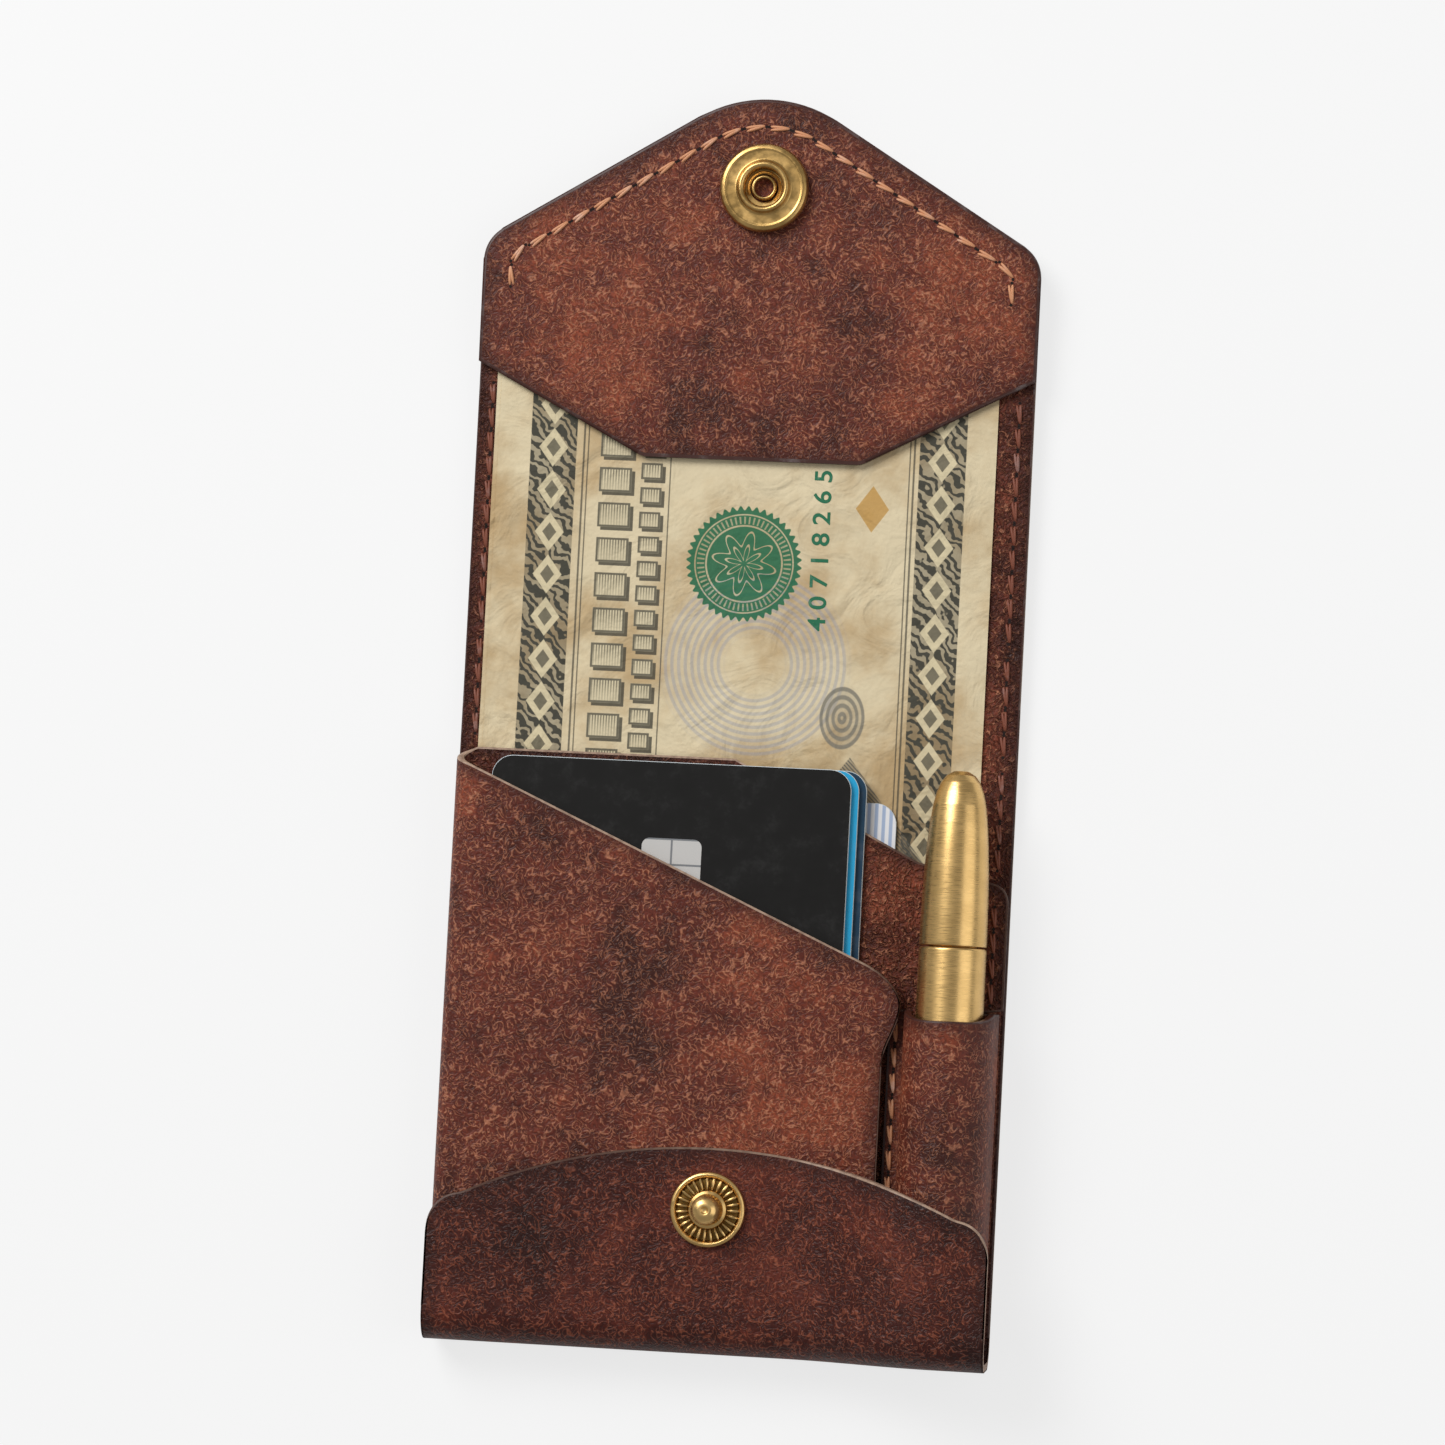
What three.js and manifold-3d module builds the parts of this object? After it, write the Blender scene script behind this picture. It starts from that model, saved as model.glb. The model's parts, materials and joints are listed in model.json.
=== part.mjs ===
// A snap wallet in brown leather, lying open on its back. One long strip of leather is the
// back, the spine and the flap, and it turns up at the bottom into a curved front flap. A second
// piece, folded at the left, makes the card pocket and wraps a pen at the right. The wallet
// holds two notes, four cards and a brass pocket pen.
//
// Sizes are in millimetres. X runs across the wallet, Y up its length from the bottom fold, and
// Z up from the table. The finished model is moved so that its box stands centred on X and Y.

import * as THREE from 'three';
import { mergeVertices } from 'three/addons/utils/BufferGeometryUtils.js';
import Module from 'manifold-3d';

const wasm = await Module();
wasm.setup();

// The body
const WIDTH = 84;
const BACK_LENGTH = 89.5; // bottom fold to the first crease
const SPINE = 17; // between the two creases, so the depth of the closed wallet
const STUD_Y = 21.5;
const SOCKET_TO_TIP = 13.5;
const SLOPE = 31.7; // degrees, each side of the flap's point
const TIP_ROUND = 19.6;
const SHOULDER_ROUND = 5.5;
const CREASE_GAP = 0.3; // between the solids of neighbouring bodies

// Thicknesses, from the table upwards
const OUTER_T = 1.2;
const LINER_T = 0.9;
const NOTE_T = 0.15;
const SMALL_CARD_T = 0.6;
const POCKET_T = 1.1;
const CARD_T = 0.8;
const LINING_T = 1.1;
const SLIP = 0.2; // play above a flat card or panel
const RIVET_ROOM = 0.8; // between the cards and the front panel

// The bottom fold and the turned-up flap
const FOLD_BACK_R = 3; // inside radii of the fold
const FOLD_FRONT_R = 3.5;
const TURN_UP = 30.6; // height of the flap at its middle
const TURN_UP_R = 85;
const TURN_UP_CORNER = 5;
const RISE_RUN = 22.2; // how far left of the pen the flap starts to climb over its sleeve
const RISE_STEPS = 8;

// The pocket
const POCKET_INSET = 0.3; // its left fold lies this far inside the wallet's edge
const POCKET_FOOT = 3.8; // lower edge, clear of the bottom fold
const DIVIDER_BELOW_CREASE = 0.9;
const DIVIDER_EDGE = 0.2; // its right edge lies this far inside the wallet's edge
const DIVIDER_STEPS = [41.5, 14]; // its edge's corners, from the wallet's right side
const FRONT_BELOW_DIVIDER = 1.6; // at the left edge, where its diagonal starts
const FRONT_DROP = 28.2; // how far the diagonal falls to its right end
const FRONT_RIGHT_IN = 20.4; // from the wallet's right side: the diagonal's end, the tip below it
const FRONT_TIP_IN = 15.2; // and the straight edge under that
const FRONT_SIDE_IN = 17.6;
const FRONT_TIP_DROP = 5.8;
const WELT_IN = 0.6; // the strip that packs the right seam, from the wallet's right side
const WELT_WIDTH = 4.2;
const WELT_BELOW_DIVIDER = 20;

// The pen and its sleeve
const PEN_IN = 7.8; // its axis, from the wallet's right side
const PEN_R = 5;
const PEN_FOOT = 2.6;
const PEN_BELOW_CREASE = 1.5;
const CAP_LENGTH = 26;
const PEN_NECK_R = 3.6;
const PEN_NECK_LENGTH = 16;
const PEN_REFILL_R = 1.2;
const PEN_CLEAR = 0.2;
const SLEEVE_CLEAR = 0.6;
const BARREL_SHOWS = 9.5; // of the barrel, above the sleeve
const REFILL_DEPTH = 40; // below the pen's seam
const REFILL_CLEAR = 0.2;
const REFILL_BELOW_TIP = 4.4;
const SLEEVE_DIP = 1.5;
const SLEEVE_TURN_R = 1.5;
const FLANGE = 2; // the sewn foot at the sleeve's left side

// Cards and notes
const CARD = [53.98, 85.6];
const CARD_CORNER = 3.18;
const CARD_FOOT = 1.9;
const CARD_IN = 5.8; // from the wallet's left side
const CARD_STEP = 1.1; // each card behind lies this much further right
const CHIP = [9, 11.6, 0.3];
const CHIP_AT = [27.6, 68.4]; // its middle, from the card's lower left corner
const SMALL_CARD = [50, 80];
const SMALL_CARD_AT = [16.5, 3]; // from the wallet's left side and the bottom fold
const NOTE_IN = [3.5, 5.3]; // the top note's sides, from the wallet's
const NOTE_UNDER_SHIFT = -0.7;
const NOTE_FOOT = 4.8;
const NOTE_UNDER_LINING = 10;

// The flap's lining
const LINING_BELOW_SHOULDER = 18.5;
const LINING_POINT_IN = 25.5; // its lower corners, from the wallet's sides
const LINING_POINT_DROP = 13.5;

// The snap
const CAP_PROUD = 1.2;
const CAP_R = 6.5;
const CAP_FLAT_R = 2;
const POST_R = 1.9;
const POST_BORE_R = 1.5;
const POST_CLEAR = 0.2;
const SOCKET_R = 6.7;
const SOCKET_PROUD = 2.6;
const WELL_R = 2.9;
const SPRING_R = 0.22;
const STUD_R = 5.6;
const STUD_PROUD = 5.4;
const STUD_DOME_R = 2.2;
const STUD_NECK_R = 1.7;
const STUD_RIBS = 27;
const RIVET_R = 4;
const RIVET_PIN_R = 1.1;

// Stitches
const STITCH = [2.9, 0.7, 0.5]; // length, width and height
const STITCH_PITCH = 3.6;
const STITCH_LEAN = 6; // degrees
const GROOVE = [1.6, 0.25]; // width and depth
const THREAD_LINK = [0.5, 0.12]; // what joins one stitch to the next
const SEAM_INSET = 2.2; // from the wallet's sides
const FLAP_SEAM_INSET = 4.2;
const FLAP_SEAM_END = 5; // the flap's seam starts this far below its shoulders

const HALF = WIDTH / 2;
const CREASE_LOW = BACK_LENGTH;
const CREASE_HIGH = BACK_LENGTH + SPINE;
const SOCKET_Y = CREASE_LOW + CREASE_HIGH - STUD_Y; // meets the stud when the wallet is closed
const TIP_Y = SOCKET_Y + SOCKET_TO_TIP;
const SLOPE_RAD = THREE.MathUtils.degToRad(SLOPE);
const SHOULDER_Y = TIP_Y + TIP_ROUND * (1 / Math.cos(SLOPE_RAD) - 1) - HALF * Math.tan(SLOPE_RAD);
const LINING_CORNER_Y = SHOULDER_Y - LINING_BELOW_SHOULDER;
const LINING_LOW = [HALF - LINING_POINT_IN, LINING_CORNER_Y - LINING_POINT_DROP];

const DIVIDER_TOP = CREASE_LOW - DIVIDER_BELOW_CREASE;
const FRONT_LEFT_Y = DIVIDER_TOP - FRONT_BELOW_DIVIDER;
const FRONT_RIGHT = [HALF - FRONT_RIGHT_IN, FRONT_LEFT_Y - FRONT_DROP];
const FRONT_TIP = [HALF - FRONT_TIP_IN, FRONT_RIGHT[1] - FRONT_TIP_DROP];
const FRONT_SIDE_X = HALF - FRONT_SIDE_IN;
const PEN_X = HALF - PEN_IN;
const RISE_FROM = PEN_X - RISE_RUN;
const PEN_TIP = CREASE_LOW - PEN_BELOW_CREASE;
const PEN_SEAM = PEN_TIP - CAP_LENGTH;
const SLEEVE_TOP = PEN_SEAM - BARREL_SHOWS;
const CARD_LEFT = CARD_IN - HALF;
const NOTE = [NOTE_IN[0] - HALF, HALF - NOTE_IN[1]];
const NOTE_TOP = LINING_CORNER_Y + NOTE_UNDER_LINING;

const Z_LINER = OUTER_T;
const Z_NOTE = Z_LINER + LINER_T;
const Z_CREASE = Z_NOTE + 2 * NOTE_T; // the creases' axes lie at the top of the notes
const Z_DIVIDER = Z_CREASE + SMALL_CARD_T + SLIP;
const Z_CARDS = Z_DIVIDER + POCKET_T;
const Z_CARDS_TOP = Z_CARDS + 3 * CARD_T;
const Z_FRONT = Z_CARDS_TOP + RIVET_ROOM;
const Z_TURN_UP = Z_FRONT + POCKET_T + SLIP;
const Z_TURN_TOP = Z_TURN_UP + OUTER_T;
const Z_LINING_TOP = Z_NOTE + 2 * NOTE_T + LINING_T;

const SLEEVE_R = PEN_R + SLEEVE_CLEAR;
const PEN_Z = Z_CARDS + PEN_CLEAR + PEN_R;
const SLEEVE_Z = PEN_Z + PEN_R + SLIP + 0.1 - SLEEVE_R;
const RISE = SLEEVE_Z + SLEEVE_R + POCKET_T + SLIP - Z_TURN_UP;
const FLAP_TILT = Math.asin(CAP_PROUD / (SOCKET_Y - CREASE_HIGH - CAP_FLAT_R));

// A manifold solid from a closed three.js geometry.
function solid(geometry) {
  geometry.deleteAttribute('normal');
  geometry.deleteAttribute('uv');
  const merged = mergeVertices(geometry, 1e-4);
  const index = merged.index.array;
  const kept = [];
  for (let i = 0; i < index.length; i += 3) {
    const [a, b, c] = [index[i], index[i + 1], index[i + 2]];
    if (a !== b && b !== c && a !== c) {
      kept.push(a, b, c);
    }
  }
  const mesh = new wasm.Mesh({
    numProp: 3,
    vertProperties: new Float32Array(merged.attributes.position.array),
    triVerts: new Uint32Array(kept),
  });
  return new wasm.Manifold(mesh);
}

function join(solids) {
  return solids.reduce((all, next) => all.add(next));
}

function prism(shape, z0, z1, curveSegments = 10) {
  const geometry = new THREE.ExtrudeGeometry(shape, {
    depth: z1 - z0,
    bevelEnabled: false,
    curveSegments,
  });
  return solid(geometry.translate(0, 0, z0));
}

function block(x0, x1, y0, y1, z0, z1) {
  const geometry = new THREE.BoxGeometry(x1 - x0, y1 - y0, z1 - z0);
  return solid(geometry.translate((x0 + x1) / 2, (y0 + y1) / 2, (z0 + z1) / 2));
}

// A polygon whose corners, each [x, y, radius], are rounded. An open one stays a path.
function rounded(corners, open = false) {
  const shape = open ? new THREE.Path() : new THREE.Shape();
  const count = corners.length;
  corners.forEach(([x, y, radius], i) => {
    const isEnd = open && (i === 0 || i === count - 1);
    if (!radius || isEnd) {
      if (i === 0) {
        shape.moveTo(x, y);
      } else {
        shape.lineTo(x, y);
      }
      return;
    }
    const before = corners[(i + count - 1) % count];
    const after = corners[(i + 1) % count];
    const corner = new THREE.Vector2(x, y);
    const back = new THREE.Vector2(before[0] - x, before[1] - y).normalize();
    const ahead = new THREE.Vector2(after[0] - x, after[1] - y).normalize();
    const half = Math.acos(back.dot(ahead)) / 2;
    const middle = back.clone().add(ahead).normalize();
    const centre = corner.clone().addScaledVector(middle, radius / Math.sin(half));
    const start = corner.clone().addScaledVector(back, radius / Math.tan(half)).sub(centre);
    const end = corner.clone().addScaledVector(ahead, radius / Math.tan(half)).sub(centre);
    if (i === 0) {
      shape.moveTo(centre.x + start.x, centre.y + start.y);
    } else {
      shape.lineTo(centre.x + start.x, centre.y + start.y);
    }
    shape.absarc(centre.x, centre.y, radius, start.angle(), end.angle(), back.cross(ahead) > 0);
  });
  return shape;
}

// A band of even width along an open path, as a shape.
function band(path, width, divisions = 8) {
  const points = path.getPoints(divisions).filter(
    (point, i, all) => i === 0 || point.distanceTo(all[i - 1]) > 1e-4,
  );
  const sides = [[], []];
  points.forEach((point, i) => {
    const into = point.clone().sub(points[Math.max(i - 1, 0)]).normalize();
    const out = points[Math.min(i + 1, points.length - 1)].clone().sub(point).normalize();
    const along = into.add(out).normalize();
    const bend = i === 0 || i === points.length - 1 ? 1 : Math.max(along.dot(out), 0.3);
    const across = new THREE.Vector2(-along.y, along.x).multiplyScalar(width / 2 / bend);
    sides[0].push(point.clone().add(across));
    sides[1].unshift(point.clone().sub(across));
  });
  return new THREE.Shape(sides.flat());
}

// A solid turned about a line along Z, from [radius, z] pairs that start and end on the axis or
// close on themselves, listed upwards along the outside.
function turned(profile, x, y, segments = 40) {
  const points = profile.map(([radius, z]) => new THREE.Vector2(radius, z));
  const geometry = new THREE.LatheGeometry(points, segments);
  return solid(geometry.rotateX(Math.PI / 2).translate(x, y, 0));
}

// The same about the pen's axis, from [radius, y] pairs.
function turnedPen(profile, segments = 36) {
  const points = profile.map(([radius, y]) => new THREE.Vector2(radius, y));
  return solid(new THREE.LatheGeometry(points, segments).translate(PEN_X, 0, PEN_Z));
}

// A section drawn in X and Z, carried from y0 to y1.
function carriedUp(shape, y0, y1) {
  const geometry = new THREE.ExtrudeGeometry(shape, { depth: y1 - y0, bevelEnabled: false });
  return solid(geometry.rotateX(Math.PI / 2).translate(0, y1, 0));
}

const flapTop = (inset, low) => [
  [HALF - inset, low, 0],
  [HALF - inset, insetShoulder(inset), Math.max(SHOULDER_ROUND - inset, 4)],
  [0, insetShoulder(inset) + (HALF - inset) * Math.tan(SLOPE_RAD), TIP_ROUND - inset],
  [inset - HALF, insetShoulder(inset), Math.max(SHOULDER_ROUND - inset, 4)],
  [inset - HALF, low, 0],
];

function insetShoulder(inset) {
  return SHOULDER_Y + inset * Math.tan(SLOPE_RAD) - inset / Math.cos(SLOPE_RAD);
}

function line(x0, y0, x1, y1) {
  return rounded([[x0, y0], [x1, y1]], true);
}

// Stitches along a path on a face at z, joined by a thin link, and the groove that they lie in.
function stitches(path, z) {
  const floor = z - GROOVE[1];
  const length = path.getLength();
  const count = Math.max(1, Math.floor((length + STITCH_PITCH - STITCH[0]) / STITCH_PITCH));
  const pitch = count > 1 ? (length - STITCH[0]) / (count - 1) : 0;
  const parts = [prism(band(path, THREAD_LINK[0]), floor, floor + THREAD_LINK[1])];
  for (let i = 0; i < count; i += 1) {
    const u = count > 1 ? (STITCH[0] / 2 + i * pitch) / length : 0.5;
    const at = path.getPointAt(u);
    const lean = path.getTangentAt(u).angle() + THREE.MathUtils.degToRad(STITCH_LEAN);
    const bar = new THREE.BoxGeometry(STITCH[0], STITCH[1], STITCH[2]);
    parts.push(solid(bar.rotateZ(lean).translate(at.x, at.y, floor + STITCH[2] / 2)));
  }
  return join(parts);
}

function groove(path, z) {
  return prism(band(path, GROOVE[0]), z - GROOVE[1], z + 1);
}

// How far the turned-up flap stands above its left side, which clears the pen sleeve.
function rise(x) {
  const t = THREE.MathUtils.clamp((x - RISE_FROM) / (PEN_X - RISE_FROM), 0, 1);
  return RISE * t * t * (3 - 2 * t);
}

// The back with its bottom fold and the turned-up flap: one bent sheet, cut to its curve.
function outerBack() {
  const t = OUTER_T;
  const back = t + FOLD_BACK_R;
  const front = t + FOLD_FRONT_R;
  const path = new THREE.Path();
  path.moveTo(CREASE_LOW - CREASE_GAP / 2, t / 2);
  path.lineTo(back, t / 2);
  path.absarc(back, back, FOLD_BACK_R + t / 2, 1.5 * Math.PI, Math.PI, true);
  path.absarc(front, Z_TURN_UP - FOLD_FRONT_R, FOLD_FRONT_R + t / 2, Math.PI, Math.PI / 2, true);
  path.lineTo(TURN_UP + 4, Z_TURN_UP + t / 2);
  const stations = [-HALF, RISE_FROM];
  for (let i = 1; i < RISE_STEPS; i += 1) {
    stations.push(RISE_FROM + ((PEN_X - RISE_FROM) * i) / RISE_STEPS);
  }
  stations.push(PEN_X, HALF);
  const geometry = new THREE.ExtrudeGeometry(band(path, t, 6), {
    depth: stations.length - 1,
    steps: stations.length - 1,
    bevelEnabled: false,
  });
  const cycle = new THREE.Matrix4().set(0, 0, 1, 0, 1, 0, 0, 0, 0, 1, 0, 0, 0, 0, 0, 1);
  geometry.applyMatrix4(cycle);
  const position = geometry.attributes.position;
  const middle = (back + Z_TURN_UP - FOLD_FRONT_R) / 2;
  for (let i = 0; i < position.count; i += 1) {
    position.setX(i, stations[Math.round(position.getX(i))]);
    if (position.getZ(i) > middle) {
      position.setZ(i, position.getZ(i) + rise(position.getX(i)));
    }
  }
  const stud = new THREE.Shape().absarc(0, STUD_Y, STUD_NECK_R + POST_CLEAR, 0, 2 * Math.PI);
  return solid(geometry)
    .subtract(prism(aboveTurnUp(), middle, Z_TURN_TOP + RISE + 5, 24))
    .subtract(prism(stud, middle, Z_TURN_TOP + 1, 6));
}

// All that lies above the turned-up flap's curved edge.
function aboveTurnUp() {
  const centreY = TURN_UP - TURN_UP_R;
  const edgeX = HALF - TURN_UP_CORNER;
  const edgeY = centreY + Math.sqrt(TURN_UP_R ** 2 - edgeX ** 2);
  const cornerX = HALF;
  const cornerY = edgeY - TURN_UP_CORNER;
  const shape = new THREE.Shape();
  shape.moveTo(-cornerX - 2, cornerY);
  shape.lineTo(-cornerX, cornerY);
  shape.quadraticCurveTo(-cornerX, edgeY - 1.2, -edgeX, edgeY);
  const a = Math.asin(edgeX / TURN_UP_R);
  shape.absarc(0, centreY, TURN_UP_R, Math.PI / 2 + a, Math.PI / 2 - a, true);
  shape.quadraticCurveTo(cornerX, edgeY - 1.2, cornerX, cornerY);
  shape.lineTo(cornerX + 2, cornerY);
  shape.lineTo(cornerX + 2, TURN_UP + 10);
  shape.lineTo(-cornerX - 2, TURN_UP + 10);
  return shape;
}

// The pocket leather's section: front panel, left fold, divider, and then either a cut edge
// or the wrap around the pen with its sewn foot.
function pocketSection(wrapsPen) {
  const half = POCKET_T / 2;
  const front = Z_FRONT + half;
  const divider = Z_DIVIDER + half;
  const foldR = (front - divider) / 2;
  const foldX = POCKET_INSET - HALF + half + foldR;
  const path = new THREE.Path();
  path.moveTo(FRONT_TIP[0] + SLIP, front);
  path.lineTo(foldX, front);
  path.absarc(foldX, (front + divider) / 2, foldR, Math.PI / 2, 1.5 * Math.PI);
  if (!wrapsPen) {
    path.lineTo(HALF - DIVIDER_EDGE, divider);
    return band(path, POCKET_T, 12);
  }
  const wrapR = SLEEVE_R + half;
  const turnX = PEN_X + wrapR + 0.45 - SLEEVE_TURN_R;
  const foot = divider + POCKET_T + SLIP;
  path.lineTo(turnX, divider);
  path.absarc(turnX, divider + SLEEVE_TURN_R, SLEEVE_TURN_R, -Math.PI / 2, 0);
  path.absarc(PEN_X, SLEEVE_Z, wrapR, 0, Math.PI);
  path.absarc(PEN_X - wrapR - 1, foot + 1, 1, 0, -Math.PI / 2, true);
  path.lineTo(PEN_X - wrapR - 1 - FLANGE, foot);
  return band(path, POCKET_T, 12);
}

// What is cut off the front panel: all above its diagonal and right of its edge.
function besideFront() {
  const shape = new THREE.Shape();
  const slope = (FRONT_RIGHT[1] - FRONT_LEFT_Y) / (FRONT_RIGHT[0] + HALF);
  const right = FRONT_TIP[0] + SLIP + 0.3;
  shape.moveTo(-HALF - 3, FRONT_LEFT_Y - 3 * slope);
  shape.lineTo(...FRONT_RIGHT);
  shape.bezierCurveTo(
    FRONT_RIGHT[0] + 3.4, FRONT_RIGHT[1] + 3.4 * slope,
    FRONT_TIP[0], FRONT_TIP[1] + 3,
    FRONT_TIP[0], FRONT_TIP[1],
  );
  shape.bezierCurveTo(
    FRONT_TIP[0], FRONT_TIP[1] - 3.4,
    FRONT_SIDE_X, FRONT_TIP[1] - 4.4,
    FRONT_SIDE_X, FRONT_TIP[1] - 9,
  );
  shape.lineTo(FRONT_SIDE_X, 0);
  shape.lineTo(right, 0);
  shape.lineTo(right, FRONT_LEFT_Y + 8);
  shape.lineTo(-HALF - 3, FRONT_LEFT_Y + 8);
  return shape;
}

// What is cut off above the divider's edge, which steps down behind the pen.
function aboveDivider() {
  const right = HALF - DIVIDER_EDGE;
  const top = DIVIDER_TOP + 5;
  const edge = [
    [-HALF - 3, DIVIDER_TOP, 0],
    [HALF - DIVIDER_STEPS[0], DIVIDER_TOP, 5],
    [HALF - DIVIDER_STEPS[1], DIVIDER_TOP - 14.1, 8],
    [right, DIVIDER_TOP - 16.6, 3.4],
    [right, DIVIDER_TOP - 24, 0],
    [right + 3, DIVIDER_TOP - 24, 0],
    [right + 3, top, 0],
    [-HALF - 3, top, 0],
  ];
  return rounded(edge);
}

function aboveSleeve() {
  const left = PEN_X - SLEEVE_R - POCKET_T - 0.2;
  const shape = new THREE.Shape();
  shape.moveTo(left, SLEEVE_TOP + 0.01);
  shape.lineTo(left + 0.1, SLEEVE_TOP + 0.01);
  shape.bezierCurveTo(
    PEN_X - SLEEVE_R, SLEEVE_TOP - 2 * SLEEVE_DIP + 1,
    PEN_X + SLEEVE_R - 1, SLEEVE_TOP - 2 * SLEEVE_DIP + 1,
    HALF, SLEEVE_TOP + 0.01,
  );
  shape.lineTo(HALF, SLEEVE_TOP + 3);
  shape.lineTo(left, SLEEVE_TOP + 3);
  return shape;
}

function sleevePath() {
  const x = PEN_X - SLEEVE_R - POCKET_T / 2 - FLANGE;
  return line(x, POCKET_FOOT + 1.5, x, SLEEVE_TOP - 1.5);
}

function pocketSidePath() {
  const x = HALF - SEAM_INSET;
  return line(x, SLEEVE_TOP + 1, x, DIVIDER_TOP - 20);
}

function pocketLeather() {
  const lowerTop = SLEEVE_TOP;
  const lower = carriedUp(pocketSection(true), POCKET_FOOT, lowerTop);
  const upper = carriedUp(pocketSection(false), lowerTop - 0.3, DIVIDER_TOP + 1);
  const middle = (Z_CARDS_TOP + Z_FRONT) / 2;
  const high = SLEEVE_Z + SLEEVE_R + POCKET_T + 1;
  const rivet = new THREE.Shape().absarc(0, STUD_Y, STUD_NECK_R + POST_CLEAR, 0, 2 * Math.PI);
  const foot = Z_CARDS + SLIP + POCKET_T;
  return lower
    .subtract(prism(aboveSleeve(), foot + 0.4, high))
    .add(upper)
    .subtract(prism(besideFront(), middle, high))
    .subtract(prism(aboveDivider(), Z_DIVIDER - 0.3, high))
    .subtract(prism(rivet, middle, Z_FRONT + POCKET_T + 1, 6))
    .subtract(groove(sleevePath(), foot))
    .subtract(groove(pocketSidePath(), Z_CARDS));
}

// One stretch of the flat back's layers: the outer leather and, on it, the liner.
function sideSeam(side, y0, y1) {
  const x = side * (HALF - SEAM_INSET);
  return line(x, y0, x, y1);
}

// Each body's stretch of the long seams up both sides, as [from, to].
const SEAMS = {
  left_back: [-1, POCKET_FOOT + 2, CREASE_LOW - 1],
  right_back: [1, DIVIDER_TOP - 15, CREASE_LOW - 1],
  left_spine: [-1, CREASE_LOW + 1, CREASE_HIGH - 1],
  right_spine: [1, CREASE_LOW + 1, CREASE_HIGH - 1],
  left_flap: [-1, CREASE_HIGH + 1, LINING_CORNER_Y - 3],
  right_flap: [1, CREASE_HIGH + 1, LINING_CORNER_Y - 3],
};

function seamThread(name) {
  return stitches(sideSeam(...SEAMS[name]), Z_NOTE);
}

function withSeamGrooves(sheet, part) {
  const names = Object.keys(SEAMS).filter((name) => name.endsWith(part));
  return names.reduce((left, name) => left.subtract(groove(sideSeam(...SEAMS[name]), Z_NOTE)), sheet);
}

function spineSheet(z0, z1) {
  const y0 = CREASE_LOW + CREASE_GAP / 2;
  const y1 = CREASE_HIGH - CREASE_GAP / 2;
  return block(-HALF, HALF, y0, y1, z0, z1);
}

function flapSheet(z0, z1) {
  const outline = rounded(flapTop(0, CREASE_HIGH + CREASE_GAP / 2));
  const hole = new THREE.Shape().absarc(0, SOCKET_Y, POST_R + POST_CLEAR, 0, 2 * Math.PI);
  return prism(outline, z0, z1, 12).subtract(prism(hole, z0 - 1, z1 + 1, 6));
}

function linerBack() {
  const foot = OUTER_T + FOLD_BACK_R + 0.3;
  const sheet = block(-HALF, HALF, foot, CREASE_LOW - CREASE_GAP / 2, Z_LINER, Z_NOTE);
  return withSeamGrooves(sheet, 'back');
}

function flapSeamPath() {
  const corners = flapTop(FLAP_SEAM_INSET, insetShoulder(FLAP_SEAM_INSET) - FLAP_SEAM_END);
  return rounded(corners, true);
}

// The patch inside the flap, hollowed underneath for the notes that reach under it.
function flapLining() {
  const low = LINING_LOW;
  const outline = [
    ...flapTop(0, LINING_CORNER_Y),
    [-low[0], low[1], 2],
    [low[0], low[1], 2],
  ];
  const hole = new THREE.Shape().absarc(0, SOCKET_Y, POST_R + POST_CLEAR, 0, 2 * Math.PI);
  const left = NOTE[0] + NOTE_UNDER_SHIFT - 0.4;
  const underSeams = prism(
    band(line(0, LINING_LOW[1] - 5, 0, NOTE_TOP + 0.4), 2 * HALF),
    Z_NOTE - 1,
    Z_CREASE,
  );
  return prism(rounded(outline), Z_NOTE, Z_LINING_TOP, 12)
    .subtract(prism(hole, Z_NOTE - 1, Z_LINING_TOP + 1, 6))
    .subtract(underSeams.intersect(block(left, -left, 0, NOTE_TOP + 0.4, 0, Z_CREASE)))
    .subtract(groove(flapSeamPath(), Z_LINING_TOP));
}

function note(under, y0, y1) {
  const shift = under ? NOTE_UNDER_SHIFT : 0;
  const z = under ? Z_NOTE : Z_NOTE + NOTE_T;
  return block(NOTE[0] + shift, NOTE[1] + shift, y0, y1, z, z + NOTE_T);
}

function cardAt(x, y, size, z, thickness) {
  const outline = rounded([
    [x, y, CARD_CORNER],
    [x + size[0], y, CARD_CORNER],
    [x + size[0], y + size[1], CARD_CORNER],
    [x, y + size[1], CARD_CORNER],
  ]);
  return prism(outline, z, z + thickness, 6);
}

// The three stacked cards, from 0 next to the divider to 2 in front.
function card(place) {
  const z = Z_CARDS + place * CARD_T;
  return cardAt(CARD_LEFT + (2 - place) * CARD_STEP, CARD_FOOT, CARD, z, CARD_T);
}

function chip(clearance) {
  const [w, h, t] = CHIP;
  const x = CARD_LEFT + CHIP_AT[0];
  const y = CARD_FOOT + CHIP_AT[1];
  const outline = rounded([
    [x - w / 2 - clearance, y - h / 2 - clearance, 1.2],
    [x + w / 2 + clearance, y - h / 2 - clearance, 1.2],
    [x + w / 2 + clearance, y + h / 2 + clearance, 1.2],
    [x - w / 2 - clearance, y + h / 2 + clearance, 1.2],
  ]);
  return prism(outline, Z_CARDS_TOP - t, Z_CARDS_TOP + clearance, 4);
}

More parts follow.
